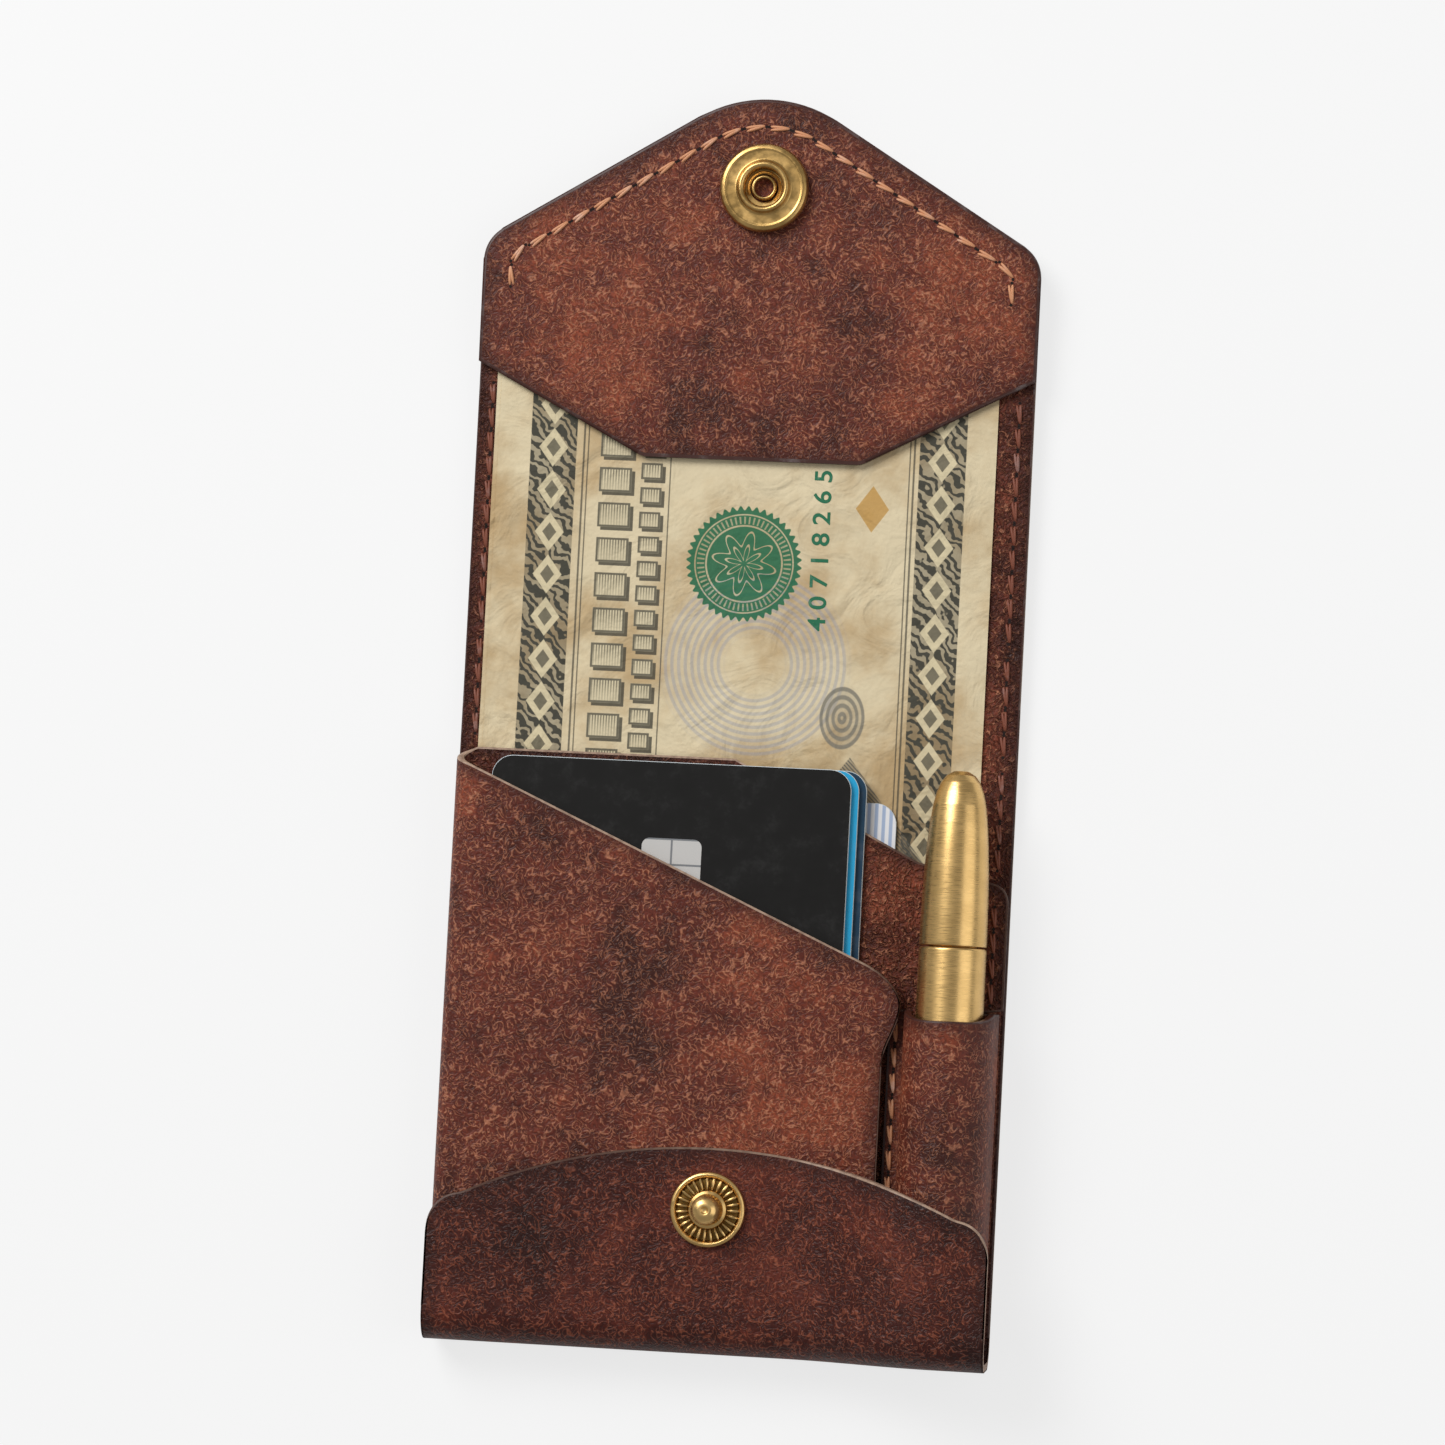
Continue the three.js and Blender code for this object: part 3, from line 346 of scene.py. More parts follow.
def blocks(tree, x, y):
    """Two rows of engraved blocks: an outline, ruled shading and a drop shadow of half a
    millimetre."""
    ink, rim, drop, prints = chosen("ink"), 0.32, 0.5, []
    for low, high, pitch, gap in ((-22.9, -18.0, 5.3, 0.8), (-16.6, -13.4, 3.7, 0.6)):

        def box(inset=0.0, shift=0.0):
            moved = add(tree, "Math ADD", [y, shift])
            step = add(tree, "Math MODULO", [moved, pitch])
            wide = between(tree, x, low + inset + shift, high - inset + shift)
            tall = between(tree, step, gap + inset, pitch - gap - inset)
            return add(tree, "Math MULTIPLY", [wide, tall]), step

        shadow, _ = box(shift=drop)
        prints.append((add(tree, "Math MULTIPLY", [shadow, 0.9]), ink))
        block, step = box()
        prints.append((block, linear("#CFC2A2")))
        inner, _ = box(inset=rim)
        shade = add(tree, "MapRange", [step, gap, pitch - gap, 0.25, 1.0], **SMOOTH)
        for share in (inner, ruled(tree, x, 0.21, 0.06, 0.15, 0.0, 0.75)):
            shade = add(tree, "Math MULTIPLY", [shade, share])
        outline = add(tree, "Math SUBTRACT", [block, inner])
        drawn = add(tree, "Math MULTIPLY_ADD", [outline, 0.85, shade])
        prints.append((drawn, ink))
    return prints


def small_marks(tree, x, y):
    """A wedge of rules at the lower right, a pale ring of fine lines, a gold lozenge and a grey
    oval."""
    slant = add(tree, "Math MULTIPLY_ADD", [off_line(tree, x, 17.0), 1.3, y])
    across = add(tree, "Math ADD", [x, y])
    far, _ = around(tree, x, y, (2.0, 103.0))
    side, height = off_line(tree, x, 18.5), off_line(tree, y, 127.0)
    lozenge = add(tree, "Math MULTIPLY_ADD", [side, 1.4, height])
    oval, _ = around(tree, x, y, (15.5, 95.5), squash=0.72)
    wedge = add(tree, "MapRange", [slant, 89.5, 89.8, 1.0, 0.0], **SMOOTH)
    gold = add(tree, "MapRange", [lozenge, 3.4, 3.6, 0.8, 0.0], **SMOOTH)
    disc = add(tree, "MapRange", [oval, 3.3, 3.5, 1.0, 0.0], **SMOOTH)
    ring = between(tree, far, 5.0, 14.0, 0.8)
    marks = (
        (wedge, ruled(tree, across, 0.3, 0.08, 0.22, 0.4, 0.9), "#5F5D55"),
        (ring, ruled(tree, far, 0.5, 0.15, 0.35, 0.05, 0.45), "#8C93A3"),
        (gold, 1.0, "#B88A3C"),
        (disc, ruled(tree, oval, 0.45, 0.12, 0.3, 0.25, 0.85), "#77746A"),
    )
    return [
        (add(tree, "Math MULTIPLY", [shape, lines]), linear(code))
        for shape, lines, code in marks
    ]


def rosette(tree, x, y):
    """A green disc 8.6 mm in radius with 44 teeth, white rings, ticks and eight petals."""
    far, turn = around(tree, x, y, (-0.4, 118.0))
    spokes = {}
    for count in (44, 8, 60):
        angle = add(tree, "Math MULTIPLY", [turn, count])
        spokes[count] = add(tree, "Math SINE", [angle])
    rim = add(tree, "Math MULTIPLY_ADD", [spokes[44], 0.32, far])
    petal = add(tree, "Math MULTIPLY_ADD", [spokes[8], 1.1, far])
    ticks = add(tree, "MapRange", [spokes[60], 0.2, 0.6, 0.0, 0.7], **SMOOTH)
    band = between(tree, far, 6.0, 7.1)
    pale = add(tree, "Math MULTIPLY", [band, ticks])
    rings = ((far, 7.3, 7.5), (petal, 3.6, 3.9), (far, 5.6, 5.85), (petal, 1.5, 1.9))
    for value, low, high in rings:
        pale = add(tree, "Math ADD", [pale, between(tree, value, low, high)])
    pale = add(tree, "Math MINIMUM", [pale, 1.0])
    green = add(tree, "Math MULTIPLY_ADD", [pale, -0.8, 1.0])
    disc = add(tree, "MapRange", [rim, 8.3, 8.5, 0.95, 0.0], **SMOOTH)
    return [(add(tree, "Math MULTIPLY", [disc, green]), chosen("rosette"))]


def note_paper(name, printed):
    """Cotton note paper, handled, stained in patches of 20 mm and softly crumpled. The print is
    a made-up design."""
    material, tree = new_material(name)
    x, y, at = millimetres(tree)
    stain = add(tree, "TexNoise", {"Vector": at, "Scale": 55, "Detail": 5, "Roughness": 0.6})
    fold = add(tree, "TexNoise", {"Vector": at, "Scale": 110, "Detail": 3, "Distortion": 1.5})
    grit = add(tree, "TexNoise", {"Vector": at, "Scale": 1800, "Detail": 2})
    prints = [(add(tree, "MapRange", [stain, 0.4, 0.68], **SMOOTH), chosen("stain"))]
    if printed:
        prints += borders(tree, x, y, at) + blocks(tree, x, y)
        prints += small_marks(tree, x, y) + rosette(tree, x, y)
    height = heaped(tree, [(fold, 3.0), (grit, 0.25)])
    finish_material(
        tree,
        Base_Color=layered(tree, chosen("note"), prints),
        Roughness=0.85,
        Normal=add(tree, "Bump", {"Strength": 0.8, "Distance": 0.0004, "Height": height}),
        Specular_IOR_Level=0.2,
    )
    return material


def striped_card(name):
    """A white card with pale blue ruled stripes, 1.1 mm apart."""
    material, tree = new_material(name)
    x, _, _ = millimetres(tree)
    stripe = ruled(tree, x, 0.55, 0.22, 0.36)
    tone = layered(tree, linear("#E6E7EA"), [(stripe, linear("#A3B4D0"))])
    finish_material(tree, Base_Color=tone, Roughness=0.4)
    return material


def chip_metal(name):
    """Satin silver contact plate, with the dark lines that part its pads."""
    material, tree = new_material(name)
    x, y, _ = millimetres(tree)
    up = add(tree, "Math SUBTRACT", [y, 70.3])
    folded = add(tree, "Math PINGPONG", [up, 1.9])
    pair = [between(tree, x, -8.75, -8.45, 0.04), between(tree, folded, 1.75, 2.2, 0.04)]
    lines = add(tree, "Math MAXIMUM", pair)
    tone = layered(tree, linear("#C9C7C4"), [(lines, linear("#7E8083"))])
    finish_material(tree, Base_Color=tone, Roughness=0.42, Metallic=0.35)
    return material


# Shapes ------------------------------------------------------------------------------------


def rounded(corners, steps=8):
    """The points of an outline whose corners, each (x, y, radius), are rounded."""
    points = []
    count = len(corners)
    for i, (x, y, radius) in enumerate(corners):
        if not radius:
            points.append(Vector((x, y)))
            continue
        corner = Vector((x, y))
        back = (Vector(corners[i - 1][:2]) - corner).normalized()
        ahead = (Vector(corners[(i + 1) % count][:2]) - corner).normalized()
        half = back.angle(ahead) / 2
        centre = corner + (back + ahead).normalized() * (radius / math.sin(half))
        start = corner + back * (radius / math.tan(half)) - centre
        swing = start.angle_signed(corner + ahead * (radius / math.tan(half)) - centre)
        for step in range(steps + 1):
            points.append(centre + Matrix.Rotation(-swing * step / steps, 2) @ start)
    return points


def flap_corners(inset, low):
    """The pointed end's corners, this far inside its edge, from its right side to its left."""
    shoulder = TIP_Y + POINT_R * (1 / math.cos(SLOPE) - 1) - HALF * math.tan(SLOPE)
    shoulder += inset * math.tan(SLOPE) - inset / math.cos(SLOPE)
    side = HALF - inset
    return [
        (side, low, 0),
        (side, shoulder, max(SHOULDER_R - inset, 4)),
        (0, shoulder + side * math.tan(SLOPE), POINT_R - inset),
        (-side, shoulder, max(SHOULDER_R - inset, 4)),
        (-side, low, 0),
    ]


def smooth(t):
    """A smooth step from 0 to 1."""
    t = min(max(t, 0.0), 1.0)
    return t * t * (3 - 2 * t)


def laid(x, y, z, tilts):
    """A point in the row frame. What lies beyond the flap's crease rests on the snap's cap."""
    if tilts and y > CREASE_HIGH - BEND:
        angle = TILT * smooth((y - CREASE_HIGH + BEND) / (2 * BEND))
        dy, dz = y - CREASE_HIGH, z - Z_CREASE
        y = CREASE_HIGH + dy * math.cos(angle) - dz * math.sin(angle)
        z = Z_CREASE + dy * math.sin(angle) + dz * math.cos(angle)
    return Vector((x, y + FOOT, z)) * MM


MATERIALS = {}


def new_piece(name, mesh, materials, body, replaces=(), sharp=28):
    """Turns a bmesh into a finished piece on its body. Edges over the angle stay crisp."""
    for edge in mesh.edges:
        edge.smooth = edge.calc_face_angle(0) < math.radians(sharp)
    for face in mesh.faces:
        face.smooth = True
    rest = mesh.verts.layers.float_vector.new("rest")
    for vert in mesh.verts:
        vert[rest] = vert.co
    data = bpy.data.meshes.new(name)
    mesh.to_mesh(data)
    mesh.free()
    piece = bpy.data.objects.new(name, data)
    bpy.context.collection.objects.link(piece)
    for material in materials:
        data.materials.append(MATERIALS[material])
    if body:
        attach(piece, body)
    if replaces:
        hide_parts(*replaces)
    return piece


def thicken(mesh, thickness, edge, segments=2, keep=None):
    """Gives a surface its thickness about its middle and rounds its rims. Its points keep how
    near the rim they are, as "worn". What is kept can be the part "below" or "above" the middle
    of the spine, where the next piece follows."""
    rim = [vert for vert in mesh.verts if vert.is_boundary]
    near = KDTree(len(rim))
    for i, vert in enumerate(rim):
        near.insert(vert.co, i)
    near.balance()
    worn = mesh.verts.layers.float.new("worn")
    for vert in mesh.verts:
        vert[worn] = max(1 - near.find(vert.co)[2] / (BURNISH * MM), 0)
    mesh.normal_update()
    across = mesh.verts.layers.float_vector.new("across")
    for vert in mesh.verts:
        vert[across] = vert.normal
    faces = mesh.faces[:]
    made = bmesh.ops.extrude_face_region(mesh, geom=faces, use_keep_orig=True)["geom"]
    copies = {item for item in made if isinstance(item, bmesh.types.BMVert)}
    shells = {*faces, *(item for item in made if isinstance(item, bmesh.types.BMFace))}
    for vert in mesh.verts:
        side = -0.5 if vert in copies else 0.5
        vert.co += vert[across] * side * thickness * MM
    rim = set(mesh.faces) - shells
    for face in rim:
        face.material_index = 1
    if edge:
        ring = {line for face in rim for line in face.edges if set(line.link_faces) - rim}
        made = bmesh.ops.bevel(
            mesh,
            geom=list(ring),
            offset=edge * MM,
            offset_type="OFFSET",
            affect="EDGES",
            segments=segments,
            profile=0.5,
            material=-1,
        )
        for face in made["faces"]:
            face.material_index = 1
    if keep:
        bmesh.ops.bisect_plane(
            mesh,
            geom=mesh.verts[:] + mesh.edges[:] + mesh.faces[:],
            plane_co=(0, (MID_SPINE + FOOT) * MM, 0),
            plane_no=(0, 1, 0),
            clear_outer=keep == "below",
            clear_inner=keep == "above",
        )
        bmesh.ops.holes_fill(mesh, edges=[line for line in mesh.edges if line.is_boundary])
    mesh.verts.layers.float_vector.remove(mesh.verts.layers.float_vector["across"])
    bmesh.ops.recalc_face_normals(mesh, faces=mesh.faces)
    return mesh


def flat_surface(outline, z, rows=(), tilts=False, ring=BURNISH):
    """A flat surface inside an outline, with a ring along its rim, and rows of edges across it
    where it bends."""
    mesh = bmesh.new()
    mesh.faces.new([mesh.verts.new((p.x, p.y, z)) for p in outline])
    mesh.normal_update()
    if ring:
        bmesh.ops.inset_region(
            mesh, faces=mesh.faces[:], thickness=ring, use_boundary=True, use_even_offset=True
        )
    for y in rows:
        geometry = mesh.verts[:] + mesh.edges[:] + mesh.faces[:]
        bmesh.ops.bisect_plane(mesh, geom=geometry, plane_co=(0, y, 0), plane_no=(0, 1, 0))
    for vert in mesh.verts:
        vert.co = laid(*vert.co, tilts)
    bmesh.ops.recalc_face_normals(mesh, faces=mesh.faces)
    if mesh.faces[0].normal.z < 0:
        bmesh.ops.reverse_faces(mesh, faces=mesh.faces)
    return mesh


def curved_surface(columns, rows, place, tilts=False):
    """A grid whose points are placed by a function of two shares, from 0 to 1."""
    mesh = bmesh.new()
    bmesh.ops.create_grid(mesh, x_segments=columns, y_segments=rows, size=0.5)
    for vert in mesh.verts:
        vert.co = laid(*place(vert.co.x + 0.5, vert.co.y + 0.5), tilts)
    return mesh


def crease_rows(crease):
    """Where a sheet gets edges around a crease."""
    return [crease + BEND * (i / 5 - 1) for i in range(11)]


def turned(name, profile, centre, along_y, materials, body, replaces, steps=96):
    """A solid turned from (radius, height) pairs about an axis through centre."""
    mesh = bmesh.new()
    points = [mesh.verts.new((radius, 0, height)) for radius, height in profile]
    for pair in zip(points, points[1:]):
        mesh.edges.new(pair)
    bmesh.ops.bevel(
        mesh,
        geom=[v for v in points[1:-1] if v.co.x > 0.3],
        offset=0.12,
        offset_type="OFFSET",
        affect="VERTICES",
        segments=3,
        profile=0.5,
        material=-1,
    )
    bmesh.ops.spin(
        mesh,
        geom=mesh.verts[:] + mesh.edges[:],
        cent=(0, 0, 0),
        axis=(0, 0, 1),
        angle=2 * math.pi,
        steps=steps,
        use_merge=True,
    )
    bmesh.ops.remove_doubles(mesh, verts=mesh.verts, dist=1e-4)
    bmesh.ops.recalc_face_normals(mesh, faces=mesh.faces)
    turn = Matrix.Rotation(-math.pi / 2, 3, "X") if along_y else Matrix.Identity(3)
    for vert in mesh.verts:
        at = turn @ vert.co + Vector(centre)
        vert.co = laid(*at, body == "flap")
    return new_piece(name, mesh, materials, body, replaces)


# Properties --------------------------------------------------------------------------------


def number(name, text, value, **settings):
    """A number that the user can set."""
    return bpy.props.FloatProperty(name=name, description=text, default=value, **settings)


class WalletLeather(bpy.types.PropertyGroup):
    outer: number("Outer thickness", "Thickness of the outer leather", 0.0012, subtype="DISTANCE")
    liner: number("Liner thickness", "Thickness of the liner", 0.0009, subtype="DISTANCE")
    pocket: number("Pocket thickness", "Thickness of pocket leather", 0.0011, subtype="DISTANCE")
    edge: number("Edge rounding", "Rounding of the cut edges", 0.0003, subtype="DISTANCE")


class WalletStage(bpy.types.PropertyGroup):
    key: number("Key light", "Power of the large soft light", 11.5, unit="POWER")
    fill: number("Fill light", "Power of the weaker light", 1.3, unit="POWER")
    sky: number("Surround", "Strength of the even light", 0.3)
    evenness: number("Evenness", "Share of the floor's tone without shadow", 0.8, subtype="FACTOR")


# Each hide's name and place, and the sRGB values of its tones
TONES = ("dark", "middle", "light", "fibre")
HIDES = {
    "leather": ("pocket and patch leather", "#3A1912", "#632A1D", "#8B4229", "#B97A5B"),
    "outer": ("outer leather", "#29110D", "#41170F", "#602719", "#925038"),
    "coarse": ("liner and divider", "#2E130D", "#5E2A1C", "#8A452E", "#B87A5C"),
}
# Each other colour's name, what it is, and its sRGB value
SHADES = {
    # The cut edge's pale tone is bare fibre together with a painted highlight.
    "cut_edge": ("Cut edge", "Bare side of a cut hide, with a painted highlight", "#A98E7A"),
    "burnished_edge": ("Burnished edge", "Side of a hide that is rubbed dark", "#3A1A12"),
    "thread": ("Thread", "Thread of the open seams", "#C98D66"),
    # The side seams' thread is the same thread, darkened as painted shade.
    "worn_thread": ("Shaded thread", "Thread of the side seams", "#7A4330"),
    "brass_deep": ("Brass, bloom", "Bloom on the socket and cap", "#7A5C2C"),
    "brass_pale": ("Brass, clean", "Clean metal of the socket and cap", "#D6B070"),
    "rubbed_brass_deep": ("Rubbed brass, bloom", "Bloom on the stud and pen", "#94723A"),
    "rubbed_brass_pale": ("Rubbed brass, clean", "Clean metal of the stud and pen", "#E2BC7C"),
    "note": ("Note", "Paper of the notes", "#D6C7A6"),
    "stain": ("Stain", "Handling stains on the notes", "#B69C74"),
    "ink": ("Ink", "Grey ink of the note's borders", "#47453C"),
    "rosette": ("Green ink", "The note's rosette and number", "#22694A"),
    "black_card": ("Black card", "Top card", "#131211"),
    "blue_card": ("Blue card", "Middle card", "#1E9CCB"),
    "navy_card": ("Navy card", "Lowest card of the stack", "#10354D"),
}


for hide, (place, *codes) in HIDES.items():
    for tone, code in zip(TONES, codes):
        about = f"The {tone} tone of the {place}"
        SHADES[f"{hide}_{tone}"] = (f"{hide.capitalize()}, {tone}", about, code)


class WalletColours(bpy.types.PropertyGroup):
    __annotations__ = {
        key: bpy.props.FloatVectorProperty(
            name=name, description=text, default=linear(code), size=4, min=0, max=1, subtype="COLOR"
        )
        for key, (name, text, code) in SHADES.items()
    }


class WALLET_OT_finishes(bpy.types.Operator):
    """Makes every finish of the wallet, in the colours that are set"""

    bl_idname = "wallet.finishes"
    bl_label = "Finishes"

    def execute(self, context):
        brass = chosen("brass_deep"), chosen("brass_pale")
        rubbed = chosen("rubbed_brass_deep"), chosen("rubbed_brass_pale")
        MATERIALS.update({
            "leather": leather("Waxed brown cowhide", "leather", 0.46),
            "outer": leather("Dark waxed cowhide", "outer", 0.44),
            "rough": leather("Coarse brown cowhide", "coarse", 0.5, grain=2.6),
            "packing": leather("Packing leather", "coarse", 0.5, bends=False),
            "edge": plain("Burnished leather edge", chosen("burnished_edge"), 0.4, speck=0.2),
            # The cut sides carry a painted highlight where they catch the light.
            "cut": cut_edge("Cut pocket leather, painted highlight", 19.0, 25.0),
            "outer cut": cut_edge("Cut outer leather, painted highlight", 25.0, -20.0),
            "thread": plain("Waxed linen thread", chosen("thread"), 0.55, speck=0.7),
            # A darker copy of the waxed thread for the side seams: painted shade.
            "shaded thread": plain("Linen thread in painted shade", chosen("worn_thread"), 0.55, speck=0.4),
            # The holes are dark discs that paint the shade inside a hole.
            "hole shade": plain("Painted shade in a pricked hole", linear("#1B0C08"), 0.9),
            "brass": metal("Aged brass", *brass, 0.35, relief=0.12),
            "bright brass": metal("Rubbed brass", *rubbed, 0.34, wear=0.25, relief=0.06),
            # Dark brass for the stud's dish: painted shade between its ribs.
            "brass in painted shade": metal("Brass in painted shade", linear("#4A3719"), linear("#8A6C3A"), 0.45),
            "pen": metal("Turned brass", *rubbed, 0.31, (500, 14000, 500), wear=0.2, relief=0.07),
            "note": note_paper("Printed note paper", True),
            "green ink": plain("Green printing ink", chosen("rosette"), 0.8, speck=0.4),
            "plain note": note_paper("Note paper", False),
            "black card": plain("Black polycarbonate", chosen("black_card"), 0.5, 0.03, shine=0.2),
            "blue card": plain("Light blue card", chosen("blue_card"), 0.4, speck=0.05),
            "navy card": plain("Navy card", chosen("navy_card"), 0.4, speck=0.1),
            "white edge": plain("White card core", linear("#C9D2D6"), 0.5),
            "striped": striped_card("Ruled white card"),
            "chip": chip_metal("Silver contact plate"),
            "steel": metal("Spring steel", linear("#77736A"), linear("#B9B6AE"), 0.3),
        })
        return {"FINISHED"}


# Pieces ------------------------------------------------------------------------------------


def turn_up_edge(x):
    """Height of the turned-up flap's curved edge."""
    x, bow, corner = abs(x), 85, 5
    flat = HALF - corner
    base = 30.6 - bow
    if x <= flat:
        return base + math.sqrt(bow**2 - x**2)
    edge = base + math.sqrt(bow**2 - flat**2)
    t = (x - flat) / corner
    return edge - corner * (1 - math.sqrt(max(1 - t**2.4, 0))) - 0.6 * t


def rise(x):
    """How far the turned-up flap stands above its left side, over the pen."""
    return 7.3 * smooth((x - 12) / (PEN_X - 12))


class WALLET_OT_outer_leather(bpy.types.Operator):
    """Builds the outer leather: back, bottom fold, turned-up flap, spine and pointed flap"""

    bl_idname = "wallet.outer_leather"
    bl_label = "Outer leather"

    def execute(self, context):
        size = context.scene.wallet_leather
        t = size.outer / MM
        back, front = t + 3.0, t + 3.5
        high = MID_SPINE + 4

        def low(u, v):
            # Columns crowd towards both sides, where the flap's corners are.
            x = HALF * math.sin((u - 0.5) * math.pi)
            top = Z_TURN_UP + rise(x)
            if v < 0.25:
                return x, high + (CREASE_LOW + BEND - high) * v / 0.25, t / 2
            if v < 0.4:
                return x, CREASE_LOW + BEND - 2 * BEND * (v - 0.25) / 0.15, t / 2
            if v < 0.5:
                return x, CREASE_LOW - BEND + (back - CREASE_LOW + BEND) * (v - 0.4) / 0.1, t / 2
            if v < 0.65:
                a = math.pi * (1.5 - 0.5 * (v - 0.5) / 0.15)
                r = 3.0 + t / 2
                return x, back + r * math.cos(a), back + r * math.sin(a)
            if v < 0.8:
                a = math.pi * (1 - 0.5 * (v - 0.65) / 0.15)
                r = 3.5 + t / 2
                return x, front + r * math.cos(a), top - 3.5 + r * math.sin(a)
            return x, front + (turn_up_edge(x) - front) * (v - 0.8) / 0.2, top + t / 2

        mesh = curved_surface(80, 120, low)
        materials = ("outer", "outer cut")
        thicken(mesh, t, size.edge / MM, keep="below")
        piece = new_piece("leather_back", mesh, materials, None, ("outer_back",))
        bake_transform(piece)
        outline = rounded(flap_corners(0, MID_SPINE - 4), steps=16)
        mesh = flat_surface(outline, t / 2, crease_rows(CREASE_HIGH), tilts=True)
        thicken(mesh, t, size.edge / MM, keep="above")
        piece = new_piece(
            "leather_flap", mesh, materials, None, ("outer_spine", "outer_flap")
        )
        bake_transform(piece)
        return {"FINISHED"}


class WALLET_OT_lining(bpy.types.Operator):
    """Builds the liner of the back and flap, and the patch inside the flap"""

    bl_idname = "wallet.lining"
    bl_label = "Lining"

    def execute(self, context):
        size = context.scene.wallet_leather
        t = size.liner / MM
        z = Z_LINER + t / 2
        side = HALF - 0.08
        materials = ("rough", "edge")
        end = MID_SPINE + 4
        outline = rounded([(side, 4.6, 0), (side, end, 0), (-side, end, 0), (-side, 4.6, 0)])
        mesh = thicken(flat_surface(outline, z, crease_rows(CREASE_LOW)), t, 0.2, keep="below")
        piece = new_piece("liner_low", mesh, materials, None, ("liner_back",))
        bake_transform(piece)
        outline = rounded(flap_corners(0.08, MID_SPINE - 4), steps=16)
        mesh = flat_surface(outline, z, crease_rows(CREASE_HIGH), tilts=True)
        thicken(mesh, t, 0.2, keep="above")
        piece = new_piece(
            "liner_high", mesh, materials, None, ("liner_spine", "liner_flap")
        )
        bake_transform(piece)
        points = [*flap_corners(-0.12, 147), (-16.5, 133.5, 3.4), (16.5, 133.5, 3.4)]
        outline = rounded(points, steps=16)
        mesh = flat_surface(outline, Z_LINING_TOP - 0.55, tilts=True)
        thicken(mesh, 1.1, 0.5, segments=4)
        new_piece("flap_patch", mesh, ("leather", "edge"), "flap", ("flap_lining",))
        return {"FINISHED"}


def front_top(x):
    """Height of the front panel's diagonal, and of the rounded tip at its end."""
    top = 58.8 - (x - 21.6) * (87 - 58.8) / (HALF + 21.6)
    if x > 21.6:
        top -= 3.5 * (1 - math.sqrt(max(1 - ((x - 21.6) / 5.2) ** 2, 0)))
    return top


def front_side(y):
    """The front panel's right edge at a height."""
    return 24.4 + 2.4 * smooth((y - 44) / 9)


def divider_edge(y):
    """The divider's right edge at a height."""
    top, side = POCKET_TOP, HALF - 0.2
    if y <= SLEEVE_TOP:
        return 38.0
    if y <= top - 19.6:
        return side
    if y <= top - 16.6:
        return side - 3 * (1 - math.sqrt(max(1 - ((y - top + 19.6) / 3) ** 2, 0)))
    if y <= top - 14.1:
        return side - 3 - 10.8 * (y - top + 16.6) / 2.5
    return 28 - 28 * (y - top + 14.1) / 14.1


class WALLET_OT_pocket(bpy.types.Operator):
    """Builds the pocket leather: front panel, left fold, divider and pen sleeve"""

    bl_idname = "wallet.pocket"
    bl_label = "Pocket leather"

    def execute(self, context):
        size = context.scene.wallet_leather
        t = size.pocket / MM
        front, divider = Z_FRONT + t / 2, Z_DIVIDER + t / 2
        fold_r = (front - divider) / 2
        fold_x = 0.3 - HALF + t / 2 + fold_r

        def body(u, v):
            if u < 0.4:
                # Columns crowd towards the free edge, where the tip is round.
                share = math.sin((1 - u / 0.4) * math.pi / 2)
                top = front_top(fold_x + (FRONT_REACH - fold_x) * share)
                y = POCKET_FOOT + (top - POCKET_FOOT) * v
                x = fold_x + (front_side(y) - fold_x) * share
                return x, y, front - 0.5 * smooth((x - 9) / 15)
            # The cut runs on around the fold, from the front's diagonal to the divider's top.
            foot = front_top(fold_x)
            top = foot + (POCKET_TOP - foot) * min((u - 0.4) / 0.2, 1)
            y = POCKET_FOOT + (top - POCKET_FOOT) * v
            if u < 0.6:
                a = math.pi * (0.5 + (u - 0.4) / 0.2)
                return fold_x + fold_r * math.cos(a), y, divider + fold_r + fold_r * math.sin(a)
            end = divider_edge(y)
            return fold_x + (end - fold_x) * (u - 0.6) / 0.4, y, divider

        materials = ("leather", "cut", "rough")
        mesh = thicken(curved_surface(60, 150, body), t, size.edge / MM)
        for face in mesh.faces:
            if not face.material_index and face.calc_center_median().z < (divider + t) * MM:
                face.material_index = 2
        new_piece("pocket_body", mesh, materials, "pocket", ("pocket_leather",))

        wrap_r = SLEEVE_R + t / 2
        turn_x = PEN_X + wrap_r + 0.45 - 1.5
        foot = divider + t + 0.2

        def sleeve(u, v):
            if u < 0.1:
                x, z = 37.0 + (turn_x - 37.0) * u / 0.1, divider
            elif u < 0.25:
                a = math.pi * ((u - 0.1) / 0.15 - 1) / 2
                x, z = turn_x + 1.5 * math.cos(a), divider + 1.5 + 1.5 * math.sin(a)
            elif u < 0.85:
                a = math.pi * (u - 0.25) / 0.6
                x, z = PEN_X + wrap_r * math.cos(a), SLEEVE_Z + wrap_r * math.sin(a)
            elif u < 0.95:
                a = -math.pi / 2 * (u - 0.85) / 0.1
                x, z = PEN_X - wrap_r - 1 + math.cos(a), foot + 1 + math.sin(a)
            else:
                x, z = PEN_X - wrap_r - 1 - 2 * (u - 0.95) / 0.05, foot
            top = SLEEVE_TOP - 1.5 * smooth((z - 8) / 7)
            return x, POCKET_FOOT + (top - POCKET_FOOT) * v, z

        mesh = thicken(curved_surface(100, 60, sleeve), t, size.edge / MM, segments=3)
        new_piece("pen_sleeve", mesh, ("leather", "edge"), "pocket")
        return {"FINISHED"}


def along(points, pitch):
    """Places at an even pitch along a line of points, each with its direction."""
    lengths = [0.0]
    for a, b in zip(points, points[1:]):
        lengths.append(lengths[-1] + (b - a).length)
    count = max(1, int(lengths[-1] / pitch))
    step = lengths[-1] / count
    places = []
    for i in range(count):
        target = (i + 0.5) * step
        k = max(j for j, length in enumerate(lengths[:-1]) if length <= target)
        a, b = points[k], points[k + 1]
        t = (target - lengths[k]) / max(lengths[k + 1] - lengths[k], 1e-9)
        places.append((a.lerp(b, t), (b - a).normalized()))
    return places


